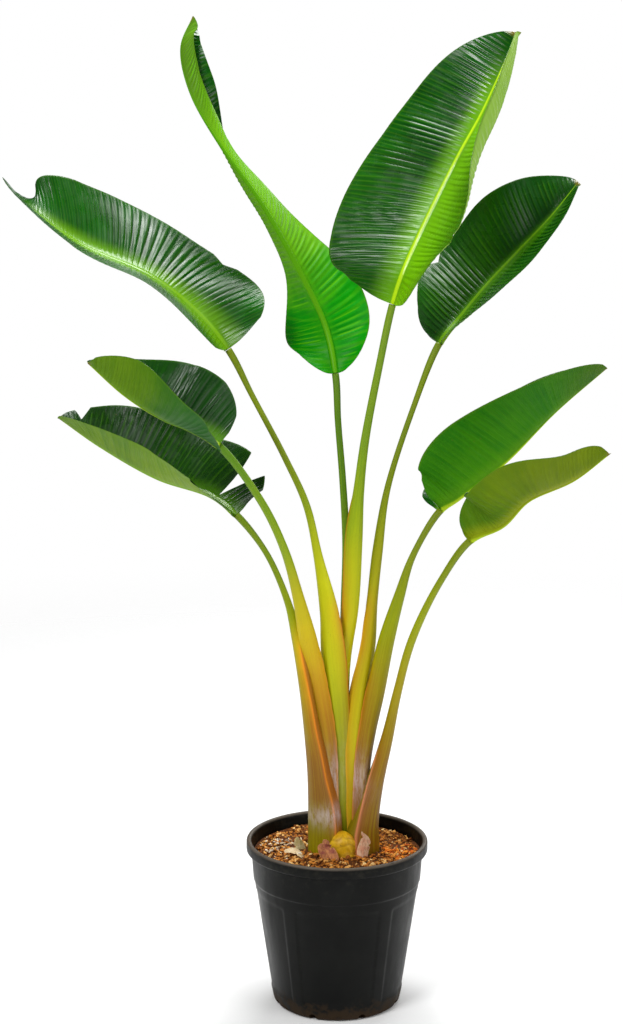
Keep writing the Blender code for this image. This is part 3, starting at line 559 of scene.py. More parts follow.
def bladeSheet(name, shape, lead, seed, materials, rows, veins=True):
    # a thin closed sheet with a rounded rib below, vein ripples and a tapering margin
    rng = np.random.default_rng(seed)
    s = np.unique(np.concatenate([
        np.linspace(0, 0.02, 12), np.linspace(0.02, 0.975, rows), np.linspace(0.975, 1, 16)]))
    rib, tangent, normal, side, length = ribFrame(shape["rib"], shape["roll"], s, lead)
    rib = rib + tangent * (shape.get("jointGap", 0.0) * (1 - s))[:, None]
    columns = shape.get("columns", bladeBuild["columns"])
    shares = np.linspace(0, 1, columns + 1)[1:] ** 0.95
    shares = np.append(shares[:-1], [0.985, 1.0])
    grids, gaps, reach = [rib[:, None]], [np.zeros((len(s), 1))], [np.zeros((len(s), 1))]
    for key, sign in (("left", -1.0), ("right", 1.0)):
        parts = rib, tangent, normal, sign * side
        grid, gap, full = halfBlade(shape, shape[key], s, parts, shares)
        share = gap / full[:, None]
        if sign < 0:
            grids.insert(0, grid[:, ::-1])
            gaps.insert(0, -gap[:, ::-1])
            reach.insert(0, share[:, ::-1])
        else:
            grids.append(grid)
            gaps.append(gap)
            reach.append(share)
    grid, gap, share = [np.concatenate(v, 1) for v in (grids, gaps, reach)]
    count, across = grid.shape[:2]
    facing = unit(np.cross(np.gradient(grid, axis=0), np.gradient(grid, axis=1)))
    if (facing[:, across // 2] * normal).sum() < 0:
        facing = -facing
    facing[0] = unit(facing[0] - (facing[0] @ tangent[0])[:, None] * tangent[0])
    keel = (shape["keel"] * (1 - bladeBuild["keelTaper"] * s))[:, None]
    away = np.abs(gap)
    run = (s * length)[:, None] * np.ones((1, across))

    # ripples between the veins, each a little different, and a slow wave along the margin
    phase = run / bladeBuild["veinSpacing"] + 0.35 * softNoise(run * 22, gap * 6, seed + 3)
    steps = np.arange(200)
    power = np.interp(phase, steps, rng.uniform(0.55, 1.2, 200))
    turn = np.sin(2 * np.pi * phase)
    ripple = (turn + 0.28 * np.sin(4 * np.pi * phase + 0.9)) * power
    fade = smooth(away, 0.002, 0.020) * (1 - 0.85 * smooth(share, 0.7, 1.0))
    fade = fade * (smooth(s, 0.0, 0.04) * smooth(1 - s, 0.0, 0.05))[:, None]
    broad = smooth(shape["halfWidth"] * ramp(shape["narrowing"], s), 0.014, 0.036)[:, None]
    fade = fade * broad
    height = ripple * fade * bladeBuild["veinHeight"] * (1 if veins else 0)
    wave = softNoise(run * 19 + 11 * np.sign(gap), share * 1.3, seed + 9) * share**2
    edgeWave = shape.get("edgeWave", bladeBuild["edgeWave"])
    height = height + wave * edgeWave * smooth(s, 0.02, 0.12)[:, None]
    thick = shape.get("thickness", bladeBuild["thickness"]) / 2 * (1 - 0.6 * smooth(share, 0.6, 1.0))
    bulge = np.sqrt(np.clip(1 - (away / keel) ** 2, 0, 1))
    crown = 0.26 * keel * np.exp(-((away / (0.55 * keel)) ** 2)) * smooth(s, 0.0, 0.06)[:, None]
    upper = grid + facing * (thick + crown + height)[:, :, None]
    lower = grid - facing * (thick + keel * bulge - height)[:, :, None]
    verts = np.concatenate([upper.reshape(-1, 3), lower.reshape(-1, 3)])
    top = gridFaces(count, across)
    under = count * across
    border = list(range(across)) + [i * across + across - 1 for i in range(1, count)]
    border += [(count - 1) * across + j for j in range(across - 2, -1, -1)]
    border += [i * across for i in range(count - 2, 0, -1)]
    border = np.array(border)
    after = np.roll(border, -1)
    rim = np.stack([border, border + under, after + under, after], 1)
    faces = np.concatenate([top, (top + under)[:, ::-1], rim])
    slots = np.concatenate([np.zeros(len(top)), np.ones(len(top)), np.zeros(len(rim))])
    flat = np.concatenate([np.zeros(2 * len(top)), np.ones(len(rim))])
    leftZone, rightZone = shape.get("zone", (1, 1))
    limeReach = bladeBuild["limeWidth"] * (1 - 0.6 * s)[:, None] * np.where(gap < 0, leftZone, rightZone)
    along = s[:, None] * np.ones_like(away)
    marks = {
        "ribLine": 1 - smooth(away, 0.45 * keel, 0.85 * keel + 0.0004),
        "ribZone": (1 - smooth(away, 0.002, limeReach + 0.004)) * (1 - smooth(along, 0.72, 0.95)),
        "margin": smooth(share, 0.962, 0.996) * 0.85,
        "dryTip": smooth(along, 0.972, 0.992),
        "ripple": ripple * fade,
        "panelTone": np.interp(np.floor(phase), steps, rng.uniform(0, 1, 200)),
        "fineVein": np.sin(2 * np.pi * phase * 6) * smooth(away, 0.001, 0.008) * broad,
        "along": along,
    }
    both = {label: np.tile(values.ravel(), 2) for label, values in marks.items()}
    centre = top[len(top) // 2]
    way = np.cross(verts[centre[1]] - verts[centre[0]], verts[centre[3]] - verts[centre[0]])
    if way @ facing.reshape(-1, 3)[centre[0]] < 0:
        faces = faces[:, ::-1]
    return meshPiece(name, verts, faces, materials, slots, flat, both)


def leafMaterial(name, look, finish):
    material, tree, sockets = newMaterial(name, specular=finish["specular"])
    values = {label: paint(value) for label, value in look.items()}
    skin = put(tree, "ShaderNodeGroup", values, node_tree=leafSkin).outputs
    finishWith(tree, sockets, skin["Colour"], skin["Roughness"], skin["Height"], finish["bump"])
    return material


# What a leaf's lower face changes, then what each leaf changes on its two faces. The zone scales the
# width of the lime zone by the rib, on the left half and the right half.
leafUnder = {
    "Deep": (48, 108, 0), "Mid": (72, 132, 2), "Far Deep": (48, 108, 0), "Far Mid": (72, 132, 2),
    "Lime": (120, 166, 6), "Rib": (166, 194, 24), "Margin": (84, 122, 14), "Tip": (120, 110, 30),
    "Ripple Painted Shade": 0.3, "Fine Veins": 0.35, "Base Roughness": 0.5,
}
leafLooks = {
    "twisted": {
        "top": {"Deep": (4, 66, 0), "Mid": (12, 104, 2), "Rib": (70, 140, 6), "Lime Share": 0.3},
        "under": {
            "Deep": (0, 122, 0), "Mid": (6, 144, 2), "Far Deep": (92, 160, 6),
            "Far Mid": (116, 178, 10), "Change From": 0.17, "Change To": 0.36, "Sheen Stripes": 0.55,
            "Lime": (104, 190, 2), "Rib": (84, 154, 4), "Lime Share": 0.12, "Ripple Painted Shade": 0.5,
            "End": (72, 114, 16), "End Share": 0.85, "Base Roughness": 0.42,
        },
        "zone": (0.6, 1.2),
    },
    "broad": {
        "top": {"Lime": (106, 172, 0), "Rib": (186, 226, 16), "Mid": (24, 96, 4)},
        # the pale colours of this lower face are painted light: the underside is painted as brightly lit
        # from the right and above
        "under": {
            "Deep": (140, 186, 66), "Mid": (162, 204, 84), "Far Deep": (140, 186, 66),
            "Far Mid": (162, 204, 84),
        },
        # the left half's wide lime zone is partly the leaf's own lime and partly painted sheen over the
        # band by the rib
        "zone": (1.9, 4.6),
    },
    "upper_right": {
        # the lighter body colours and the stripes of this upper face are painted sheen for the pale
        # streaks across it
        "top": {
            "Deep": (8, 66, 4), "Mid": (36, 104, 12), "Far Deep": (8, 66, 4), "Lime": (84, 146, 8),
            "Rib": (120, 172, 20), "Sheen Stripes": 0.35, "Lime Share": 0.75,
        },
        "under": {"Deep": (100, 150, 10), "Far Deep": (100, 150, 10)}, "zone": (0.35, 1.3),
    },
    "upper_left": {
        "top": {"Lime": (98, 154, 2), "Rib": (112, 164, 6), "Base Roughness": 0.29},
        "under": {
            "Deep": (84, 144, 2), "Mid": (108, 162, 8), "Far Deep": (84, 144, 2),
            "Far Mid": (108, 162, 8),
        },
        "zone": (3.4, 1.6),
    },
    "middle_right": {
        "top": {},
        "under": {
            "Deep": (26, 104, 0), "Mid": (60, 128, 0), "Far Deep": (44, 94, 0), "Far Mid": (70, 108, 4),
            "Change From": 0.65, "Change To": 0.95, "Lime Share": 0.22,
        },
    },
    "middle_left": {
        "top": {"Mid": (18, 78, 4), "Far Mid": (18, 78, 4), "Base Roughness": 0.26},
        "under": {
            "Deep": (6, 84, 0), "Mid": (26, 98, 0), "Far Deep": (68, 112, 4), "Far Mid": (98, 134, 12),
            "Change From": 0.3, "Change To": 0.72, "Lime Share": 0.3,
        },
    },
    "lower_right": {
        "top": {},
        "under": {
            "Deep": (58, 106, 0), "Mid": (84, 120, 0), "Far Deep": (90, 114, 0),
            "Far Mid": (112, 134, 0), "Change From": 0.2, "Change To": 0.6, "Lime": (140, 152, 4),
            "Lime Share": 0.8,
        },
    },
    "lower_left": {
        # the dark upper face of this leaf is painted shade: it sits shadowed under the leaves above it
        "top": {
            "Deep": (0, 38, 0), "Far Deep": (0, 38, 0), "Mid": (8, 58, 2), "Far Mid": (8, 58, 2),
            "Rib": (96, 140, 8), "Lime Share": 0.35, "Sheen Stripes": 0.12, "Base Roughness": 0.26,
        },
        "under": {
            "Deep": (84, 130, 2), "Mid": (124, 156, 6), "Far Deep": (78, 122, 2),
            "Far Mid": (116, 148, 10),
        },
    },
}

for order, (name, shape) in enumerate(leafShapes.items()):
    own = leafLooks[name]
    title = name.title().replace("_", "")
    top = leafMaterial("leafTop" + title, {**leafTop, **own["top"]}, bladeBuild["top"])
    look = {**leafTop, **leafUnder, **own["under"]}
    under = leafMaterial("leafUnder" + title, look, bladeBuild["under"])
    full = dict(shape, keel=bladeBuild["keel"], jointGap=bladeBuild["jointGap"])
    full["zone"] = own.get("zone", (1, 1))
    joint = shape["stalk"][-1][:3]
    piece = bladeSheet("leaf_" + name, full, joint, 20 + order, [top, under], bladeBuild["rows"])
    settle(piece, "blade", "blade_" + name)
print("leaves built")

# Stalks: outer colours by height, colours by the sheath's margin, where its mouth is and how its margin
# runs. Angles go round the stalk from its left (0) by its back (90) to its right (180) and front (270).
stalkBuild = {
    "rings": 230, "sides": 72, "foot": 0.23, "colourSpan": 0.62, "lipDepth": 0.0016,
    "lipHeight": 0.0008, "lipWidth": 0.0014, "lipPaint": 0.0021, "insideAngle": 58,
    "marginWander": 0.05, "groove": 0.0011, "ribHeight": 0.00022, "swell": 0.0006, "specular": 0.22,
    "bump": 0.00035,
}
olive, fresh, golden = (124, 146, 4), (116, 160, 14), (198, 190, 2)
orange, plum, brown = (232, 138, 30), (120, 52, 34), (146, 80, 6)
leftOuter = [
    (0.0, (136, 122, 2)), (0.08, (128, 112, 2)), (0.15, (124, 78, 14)), (0.26, (130, 84, 8)),
    (0.38, (140, 124, 2)), (0.56, (138, 152, 4)), (0.72, (96, 126, 8)), (1.0, (66, 110, 12)),
]
leftInner = [
    (0.0, (146, 120, 4)), (0.06, (150, 96, 30)), (0.12, plum), (0.22, plum), (0.34, (164, 92, 6)),
    (0.46, (210, 150, 10)), (0.62, (206, 178, 12)), (0.8, fresh),
]
rightOuter = [
    (0.0, (124, 80, 6)), (0.12, (116, 72, 2)), (0.25, (126, 88, 2)), (0.4, (146, 130, 4)),
    (0.56, (136, 148, 4)), (0.74, (100, 122, 10)), (1.0, (84, 108, 14)),
]
rightInner = [
    (0.0, (142, 84, 44)), (0.12, (134, 68, 44)), (0.22, (140, 78, 26)), (0.36, brown),
    (0.5, (172, 116, 8)), (0.68, (180, 170, 4)), (0.8, fresh),
]
middleOuter = [
    (0.0, golden), (0.35, (186, 180, 0)), (0.55, (190, 186, 2)), (0.7, (172, 180, 4)),
    (0.85, (130, 162, 16)), (1.0, (96, 136, 28)),
]
middleInner = [(0.0, (176, 144, 4)), (0.4, (190, 130, 6)), (0.6, (196, 132, 14)), (0.8, olive)]
stalkLooks = {
    "twisted": {
        "outer": [(0.0, olive), (0.5, (104, 140, 20)), (1.0, (56, 112, 14))], "inner": middleInner,
        "mouth": 0.52, "margin": (200, 230), "edge": olive, "bloom": (0.4, 0.05, 0.0),
    },
    "broad": {
        "outer": middleOuter, "inner": middleInner, "mouth": 0.775, "margin": (345, 318),
        "edge": (190, 116, 10), "bloom": (0.42, 0.05, 0.0),
    },
    "upper_right": {
        "outer": [
            (0.0, golden), (0.3, (176, 172, 2)), (0.6, (170, 160, 8)), (0.8, (134, 150, 12)),
            (1.0, (102, 128, 20)),
        ],
        "inner": middleInner, "mouth": 0.6, "margin": (350, 300), "edge": (226, 172, 50),
        "bloom": (0.36, 0.04, 0.0),
    },
    "upper_left": {
        "outer": [
            (0.0, (132, 136, 2)), (0.25, (128, 140, 0)), (0.45, (178, 184, 2)), (0.66, (196, 198, 12)),
            (0.85, (128, 152, 14)), (1.0, (98, 122, 14)),
        ],
        "inner": [(0.0, olive), (0.35, (150, 116, 8)), (0.6, (210, 150, 24)), (0.8, olive)],
        "mouth": 0.6, "margin": (206, 214), "edge": (184, 104, 10), "bloom": (0.36, 0.05, 0.2),
    },
    "middle_right": {
        "outer": rightOuter, "inner": rightInner, "mouth": 0.5, "margin": (350, 318),
        "edge": (220, 140, 48), "bloom": (0.345, 0.032, 0.9),
    },
    "middle_left": {
        "outer": [
            (0.0, (146, 124, 4)), (0.2, (130, 96, 6)), (0.4, (178, 128, 6)), (0.58, (196, 174, 8)),
            (0.76, (122, 150, 10)), (1.0, (64, 128, 14)),
        ],
        "inner": leftInner, "mouth": 0.555, "margin": (188, 238), "edge": (220, 150, 44),
        "bloom": (0.35, 0.034, 0.8),
    },
    "lower_right": {
        "outer": rightOuter, "inner": rightInner, "mouth": 0.4, "margin": (352, 286),
        "edge": (232, 146, 104), "bloom": (0.33, 0.02, 0.12),
    },
    "lower_left": {
        "outer": leftOuter, "inner": leftInner, "mouth": 0.56, "margin": (256, 232), "edge": orange,
        "bloom": (0.292, 0.015, 1.2), "inside": ((152, 84, 14), 0.75),
    },
}


def stalkTube(name, shape, look, seed):
    # an elliptical tube with a sheath: its margin is a thin lip, and the inside of the sheath lies deeper
    build = stalkBuild
    top = tuple(shape["rib"][0]) + (0.0052, 0.0052)
    route, follow = shape["stalk"] + [top], tuple(shape["rib"][1]) + (0.0048, 0.0048)
    curve, run = curveThrough(route, follow=follow)
    places = np.linspace(0, 1, build["rings"])
    c = sampleCurve(curve, run, places)
    ahead = sampleCurve(curve, run, np.clip(places + 0.004, 0, 1))
    behind = sampleCurve(curve, run, np.clip(places - 0.004, 0, 1))
    tangent = unit(ahead[:, :3] - behind[:, :3])
    back = np.array([0.0, 1.0, 0.0])
    deep = unit(back - (tangent @ back)[:, None] * tangent)
    wide = np.cross(tangent, deep)
    angle = np.arange(build["sides"]) * 2 * math.pi / build["sides"]
    length = (places * run[-1])[:, None]
    z = c[:, 2][:, None]
    radius = (c[:, 3] + c[:, 4])[:, None] / 2

    # distance from the sheath's visible margin, positive inside its opening
    mouth = look["mouth"]
    fall = np.clip((mouth - z) / (mouth - build["foot"]), 0, 1)
    marginTop, marginFoot = look["margin"]
    start = np.radians(marginTop + (marginFoot - marginTop) * fall**0.8)
    start = start + build["marginWander"] * softNoise(z * 26, z * 0 + seed, seed)
    inner = math.radians(180 if marginTop < 270 else 360)
    way = -1.0 if marginTop < 270 else 1.0
    turn = (angle[None] - start) * way
    turn = (turn + math.pi) % (2 * math.pi) - math.pi
    reach = np.abs(start - inner) + math.radians(build["insideAngle"])
    opening = turn * radius
    closing = (reach - turn) * radius
    sheathed = smooth(mouth - z, 0.0, 0.03)
    inside = smooth(opening, -0.0002, 0.0009) * smooth(closing, -0.0002, 0.0009) * sheathed
    lip = np.exp(-((opening / build["lipWidth"]) ** 2)) * sheathed
    shift = build["lipHeight"] * lip - build["lipDepth"] * inside * np.minimum(1, radius / 0.012)
    # above the sheath the stalk carries a groove on its inner side
    aside = (angle[None] - inner + math.pi) % (2 * math.pi) - math.pi
    groove = (1 - sheathed) * np.exp(-((aside / 0.42) ** 2)) * np.minimum(1, radius / 0.006)
    shift = shift - build["groove"] * groove * smooth(1 - places[:, None], 0.02, 0.12)
    ribs = build["ribHeight"] * softNoise(angle[None] * 11 + 0 * z, length * 2.2, seed + 40)
    swell = build["swell"] * softNoise(angle[None] * 1.6, length * 11, seed + 50)
    shift = shift + (ribs + swell) * smooth(radius, 0.004, 0.012)
    halfWide = c[:, 3][:, None] + shift
    halfDeep = c[:, 4][:, None] + shift
    points = c[:, None, :3] + (np.cos(angle)[None] * halfWide)[:, :, None] * wide[:, None]
    points = points + (np.sin(angle)[None] * halfDeep)[:, :, None] * deep[:, None]
    count, sides = points.shape[:2]
    ends = np.stack([points[0].mean(0), points[-1].mean(0)])
    verts = np.concatenate([points.reshape(-1, 3), ends])
    faces = [tuple(f) for f in gridFaces(count, sides, closed=True)]
    last = count * sides
    for j in range(sides):
        faces.append((last, (j + 1) % sides, j))
        faces.append((last + 1, last - sides + j, last - sides + (j + 1) % sides))
    flip = np.cross(points[1, 1] - points[0, 0], points[1, 0] - points[0, 0])
    if flip @ (points[0, 0] - c[0, :3]) > 0:
        faces = [f[::-1] for f in faces]
    at, spread, amount = look["bloom"]
    flatRow = 0 * angle[None]
    near = np.exp(-((np.abs(opening) / 0.011) ** 1.5)) * (1 - 0.7 * inside)
    wax = amount * np.exp(-(((z - at) / spread) ** 2))
    marks = {
        "height": np.clip((z - build["foot"]) / build["colourSpan"] + flatRow, 0, 1),
        "nearMargin": near * smooth(mouth + 0.04 - z, 0.0, 0.06),
        "lip": np.exp(-((opening / build["lipPaint"]) ** 2)) * sheathed,
        "inside": inside,
        "bloom": wax * (0.35 + 0.65 * np.exp(-(np.abs(opening) / 0.02))),
        "skin": np.stack([np.cos(angle)[None] + 0 * z, np.sin(angle)[None] + 0 * z, length + flatRow], 2),
    }
    full = {}
    for label, values in marks.items():
        rows = values.reshape(count * sides, -1)
        capped = np.concatenate([rows, rows[:1], rows[-1:]])
        full[label] = capped[:, 0] if values.ndim == 2 else capped
    return verts, faces, full


def stalkMaterial(name, look):
    material, tree, sockets = newMaterial(name, specular=stalkBuild["specular"])
    fibre = put(tree, "ShaderNodeGroup", {"Streaks": 0.7, "Wax": 0.95}, node_tree=stalkFibre).outputs
    cloud = noise(tree, objectPlace(tree), 14.0, 4.0, 0.6)
    wander = plus(tree, mark(tree, "height"), drift(tree, cloud, 0.12))
    near = times(tree, mark(tree, "nearMargin"), remap(tree, cloud, 0.25, 0.6, 0.8, 1.0), True)
    outer, inner = ramped(tree, wander, look["outer"]), ramped(tree, wander, look["inner"])
    skin = blendColour(tree, near, outer, inner)
    insideColour, insideShare = look.get("inside", ((124, 124, 4), 0.5))
    colour = layered(
        tree, skin,
        (times(tree, fibre["Streak"], 0.5), blendColour(tree, 0.5, skin, (216, 210, 10))),
        (times(tree, mark(tree, "inside"), insideShare), insideColour),
        (times(tree, mark(tree, "lip"), 0.85), look["edge"]),
        (fibre["Speck"], (96, 62, 20)),
        (times(tree, fibre["Wax"], 0.62), (214, 200, 204)))
    rough = plus(tree, times(tree, fibre["Wax"], 0.3), 0.36)
    rough = plus(tree, rough, times(tree, cloud, 0.12))
    finishWith(tree, sockets, colour, rough, fibre["Height"], stalkBuild["bump"])
    return material


for order, (name, shape) in enumerate(leafShapes.items()):
    look = stalkLooks[name]
    verts, faces, marks = stalkTube(name, shape, look, 60 + order)
    material = stalkMaterial("stalk" + name.title().replace("_", ""), look)
    settle(meshPiece("petiole_" + name, verts, faces, [material], marks=marks), "stalk", "stalk_" + name)
print("stalks built")

# Nursery pot: profile outside up to the rim, then inside down to the floor; panels are shallow recesses.
pot = {
    "sides": 360, "panels": 5, "panelDepth": 0.0011, "panelHalfAngle": 31.5, "panelSide": 0.030,
    "panelFoot": (0.021, 0.0245), "panelTop": 0.1775, "panelArch": 0.004, "panelTopEdge": 0.0045,
    "height": 0.25, "wallWander": 0.00035, "rimScuffAndHighlight": (0.2455, 0.2498), "soilTop": 0.050,
    "splashes": (0.16, 0.243), "specular": 0.13, "bump": 0.00035,
    "outside": [
        (0.03, 0.0), (0.031, 0.0008), (0.033, 0.0025), (0.078, 0.0025), (0.08, 0.0008), (0.081, 0.0),
        (0.0885, 0.0), (0.0905, 0.0003), (0.0925, 0.0012), (0.094, 0.0025), (0.095, 0.004),
        (0.0958, 0.007), (0.0965, 0.0105), (0.0975, 0.0155), (0.0984, 0.02), (0.0987, 0.0222),
        (0.099, 0.024), (0.0998, 0.029), (0.1029, 0.05), (0.1065, 0.074), (0.1101, 0.098),
        (0.1137, 0.122), (0.1173, 0.146), (0.1203, 0.166), (0.1212, 0.172), (0.1215, 0.175),
        (0.1218, 0.178), (0.1223, 0.182), (0.1228, 0.186), (0.123, 0.1876), (0.1234, 0.1888),
        (0.124, 0.1897), (0.1246, 0.1905), (0.1249, 0.1925), (0.1262, 0.212), (0.1275, 0.2305),
        (0.1276, 0.2322), (0.1283, 0.2329), (0.131, 0.2331), (0.1328, 0.2333), (0.134, 0.2339),
        (0.1348, 0.2351), (0.135, 0.2368), (0.135, 0.2415), (0.135, 0.2462), (0.1347, 0.2478),
        (0.134, 0.249), (0.1328, 0.2497), (0.1312, 0.25),
    ],
    "inside": [
        (0.13, 0.2498), (0.1288, 0.2491), (0.1279, 0.248), (0.1272, 0.246), (0.1262, 0.2395),
        (0.125, 0.2325), (0.1236, 0.212), (0.1221, 0.1912), (0.1216, 0.1895), (0.1208, 0.1875),
        (0.1204, 0.186), (0.1137, 0.142), (0.1065, 0.093), (0.0993, 0.044), (0.0948, 0.0135),
        (0.0935, 0.009), (0.0915, 0.0065), (0.0875, 0.0056), (0.081, 0.0052), (0.03, 0.0052),
    ],
}
drains = {"count": 8, "radius": 0.006, "ring": 0.0905, "height": 0.0055, "length": 0.034, "slope": -0.75}


def panelShare(height, angle):
    # how far into a panel a point of the wall lies, 0 on the ribs and ends, 1 on the flat of the panel
    step = 2 * math.pi / pot["panels"]
    mid = (angle + math.pi / 2 + step / 2) % step - step / 2
    halfWide = math.radians(pot["panelHalfAngle"])
    across = 1 - smooth(np.abs(mid), halfWide - pot["panelSide"], halfWide)
    arch = pot["panelTop"] - pot["panelArch"] * (np.abs(mid) / halfWide) ** 4
    upTo = 1 - smooth(height, arch - pot["panelTopEdge"], arch)
    return across * smooth(height, *pot["panelFoot"]) * upTo


def potVerts():
    profile = np.array(pot["outside"] + pot["inside"])
    dense = [profile[0]]
    for a, b in zip(profile[:-1], profile[1:]):
        parts = max(1, int(round(np.hypot(*(b - a)) / 0.004)))
        dense += [a + (b - a) * (k + 1) / parts for k in range(parts)]
    dense = np.array(dense)
    outside = np.arange(len(dense)) < np.argmax(dense[:, 1] >= pot["height"])
    angle = (np.arange(pot["sides"]) + 0.5) * 2 * math.pi / pot["sides"] - math.pi / 2
    radius, height = dense[:, :1], dense[:, 1:]
    share = panelShare(height, angle[None]) * outside[:, None]
    # a moulded wall is never quite true: it swells and wavers a little
    x, y = np.cos(angle)[None], np.sin(angle)[None]
    sway = pot["wallWander"] * softNoise(x * 1.7 + 9, height * 14 + y * 1.7 + 9, 4)
    sway = sway * smooth(height, 0.02, 0.06) * (1 - smooth(height, 0.18, 0.23))
    radius = radius - pot["panelDepth"] * share + sway
    return np.stack([radius * x, radius * y, height + 0 * radius], 2), share


def drill(piece, angle):
    # one drain hole through the pot's bottom edge
    x, y = math.cos(angle), math.sin(angle)
    bpy.ops.mesh.primitive_cylinder_add(vertices=28, radius=drains["radius"], depth=drains["length"])
    bit = bpy.context.object
    bit.location = (drains["ring"] * x, drains["ring"] * y, drains["height"])
    way = Vector((x, y, drains["slope"])).normalized()
    bit.rotation_euler = way.to_track_quat("Z", "Y").to_euler()
    cut = piece.modifiers.new("drain", "BOOLEAN")
    cut.operation, cut.solver, cut.object = "DIFFERENCE", "EXACT", bit
    bpy.context.view_layer.update()
    seen = piece.evaluated_get(bpy.context.evaluated_depsgraph_get())
    result = bpy.data.meshes.new_from_object(seen)
    piece.modifiers.clear()
    piece.data = result
    bpy.data.objects.remove(bit, do_unlink=True)


def buildPot():
    verts, share = potVerts()
    count, sides = verts.shape[:2]
    faces = [tuple(f) for f in gridFaces(count, sides, closed=True)]
    faces.append(tuple(range(sides))[::-1])
    faces.append(tuple((count - 1) * sides + k for k in range(sides)))
    edge = np.abs(np.gradient(share, axis=1)) * 14 + np.abs(np.gradient(share, axis=0)) * 2.2
    marks = {"panelEdge": np.clip(edge, 0, 1).ravel()}
    piece = meshPiece("pot_body", verts.reshape(-1, 3), faces, [potMaterial()], marks=marks)
    for k in range(drains["count"]):
        drill(piece, 2 * math.pi * (k + 0.5) / drains["count"])
    piece.data.shade_smooth()
    piece.data.set_sharp_from_angle(angle=math.radians(40))
    return piece


def potMaterial():
    material, tree, sockets = newMaterial("blackPotPlastic", specular=pot["specular"])
    place = objectPlace(tree)
    height = put(tree, "ShaderNodeSeparateXYZ", {0: place}).outputs[2]
    cloud = noise(tree, place, 16.0, 5.0, 0.6)
    # greyer plastic where the rim's upper edge and the panel ribs are scuffed, partly painted highlight
    # along the rim's top and the panel edges
    scuffs = noise(tree, stretched(tree, place, 1.0, 1.0, 6.0), 60.0, 6.0, 0.7)
    rim = times(tree, remap(tree, height, *pot["rimScuffAndHighlight"]), remap(tree, scuffs, 0.2, 0.55, 0.45, 1.0))
    ribScuffAndHighlight = times(tree, mark(tree, "panelEdge"), remap(tree, scuffs, 0.42, 0.68, 0.0, 0.04))
    # soil dust low on the wall, and splashes under the rim
    soil = remap(tree, height, pot["soilTop"], 0.0, 0.0, 0.8)
    soil = {"Mask": soil, "Scale": 52.0, "Sharpness": 0.16}
    low = put(tree, "ShaderNodeGroup", soil, node_tree=dust).outputs[0]
    splash = {"Mask": remap(tree, height, *pot["splashes"], 0.0, 0.42), "Scale": 90.0}
    splash = put(tree, "ShaderNodeGroup", splash, node_tree=dust).outputs[0]
    colour = layered(
        tree, blendColour(tree, remap(tree, cloud, 0.3, 0.7), (4, 5, 4), (12, 13, 11)),
        (times(tree, rim, 0.7), (112, 102, 92)), (ribScuffAndHighlight, (82, 82, 76)),
        (times(tree, low, 0.32), (92, 68, 40)), (times(tree, splash, 0.22), (80, 76, 62)))
    film = noise(tree, stretched(tree, place, 1.0, 1.0, 0.25), 34.0, 6.0, 0.65)
    rough = plus(tree, remap(tree, film, 0.3, 0.7, 0.30, 0.50), times(tree, low, 0.35), True)
    fine = noise(tree, place, 700.0, 3.0, 0.6)
    bumps = plus(tree, times(tree, fine, 0.25), times(tree, film, 0.75))
    finishWith(tree, sockets, colour, rough, bumps, pot["bump"])
    return material


settle(buildPot(), "pot_plastic", "nursery_pot")
print("pot built")

# Potting mix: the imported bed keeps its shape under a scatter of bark, grit and pale bits. A patch is
# (x, y, spread) for bits that lie together; colours run from the darkest bit to the palest.
mix = {"level": 0.2305, "reach": 0.1225, "mound": 0.0028, "uneven": 0.0016, "templates": 14}
crownSpot = {"x": 0.008, "y": -0.017, "wide": 0.026, "deep": 0.024}
fineStops = [(0.0, (88, 46, 12)), (0.4, (142, 82, 26)), (0.75, (192, 120, 44)), (1.0, (226, 164, 84))]
scatters = {
    "mix_fines": {"count": 2300, "longest": 0.0052, "shortest": 0.0020, "lift": 0.0022, "seed": 31,
                  "material": "barkFines", "stops": fineStops},
    "bark_chips": {"count": 1500, "longest": 0.0105, "shortest": 0.0045, "lift": 0.0042, "seed": 32,
                   "material": "barkChip",
                   "stops": [(0.0, (104, 54, 14)), (0.2, (156, 90, 28)), (0.45, (198, 122, 42)),
                             (0.7, (220, 146, 58)), (0.88, (234, 178, 98)), (1.0, (244, 208, 144))]},
    "rust_chips": {"count": 120, "longest": 0.0095, "shortest": 0.0045, "lift": 0.0052, "seed": 33,
                   "patch": (0.088, -0.020, 0.016), "material": "rustChip",
                   "stops": [(0.0, (150, 62, 8)), (0.5, (216, 104, 14)), (1.0, (244, 156, 40))]},
    "pale_bits": {"count": 60, "longest": 0.0095, "shortest": 0.0040, "lift": 0.0075, "seed": 34,
                  "patch": (-0.078, 0.006, 0.022), "material": "paleBit", "roughness": 0.85,
                  "stops": [(0.0, (216, 196, 156)), (0.5, (238, 222, 192)), (1.0, (250, 244, 228))]},
}


def chipTemplate(rng):
    # a splintery lump: the hull of random points in a flattened box
    work = bmesh.new()
    for _ in range(15):
        work.verts.new(rng.uniform(-1, 1, 3) * (1.0, 0.62, 0.40))
    made = bmesh.ops.convex_hull(work, input=work.verts)
    spare = [v for v in made["geom_interior"] if isinstance(v, bmesh.types.BMVert)]
    bmesh.ops.delete(work, geom=spare, context="VERTS")
    bmesh.ops.triangulate(work, faces=work.faces)
    bmesh.ops.subdivide_edges(work, edges=work.edges, cuts=1, use_grid_fill=True)
    for v in work.verts:
        v.co += Vector(rng.normal(0, 0.045, 3))
    work.verts.index_update()
    verts = np.array([v.co[:] for v in work.verts])
    faces = [tuple(v.index for v in f.verts) for f in work.faces]
    work.free()
    return verts, faces


def blocked(x, y, clear=0.003):
    # true where a stalk or the crown stands
    for shape in leafShapes.values():
        stalkX, stalkY, _, wide, deep = shape["stalk"][0]
        if ((x - stalkX) / (wide + clear)) ** 2 + ((y - stalkY) / (deep + clear)) ** 2 < 1:
            return True
    spot = crownSpot
    return ((x - spot["x"]) / spot["wide"]) ** 2 + ((y - spot["y"]) / spot["deep"]) ** 2 < 1


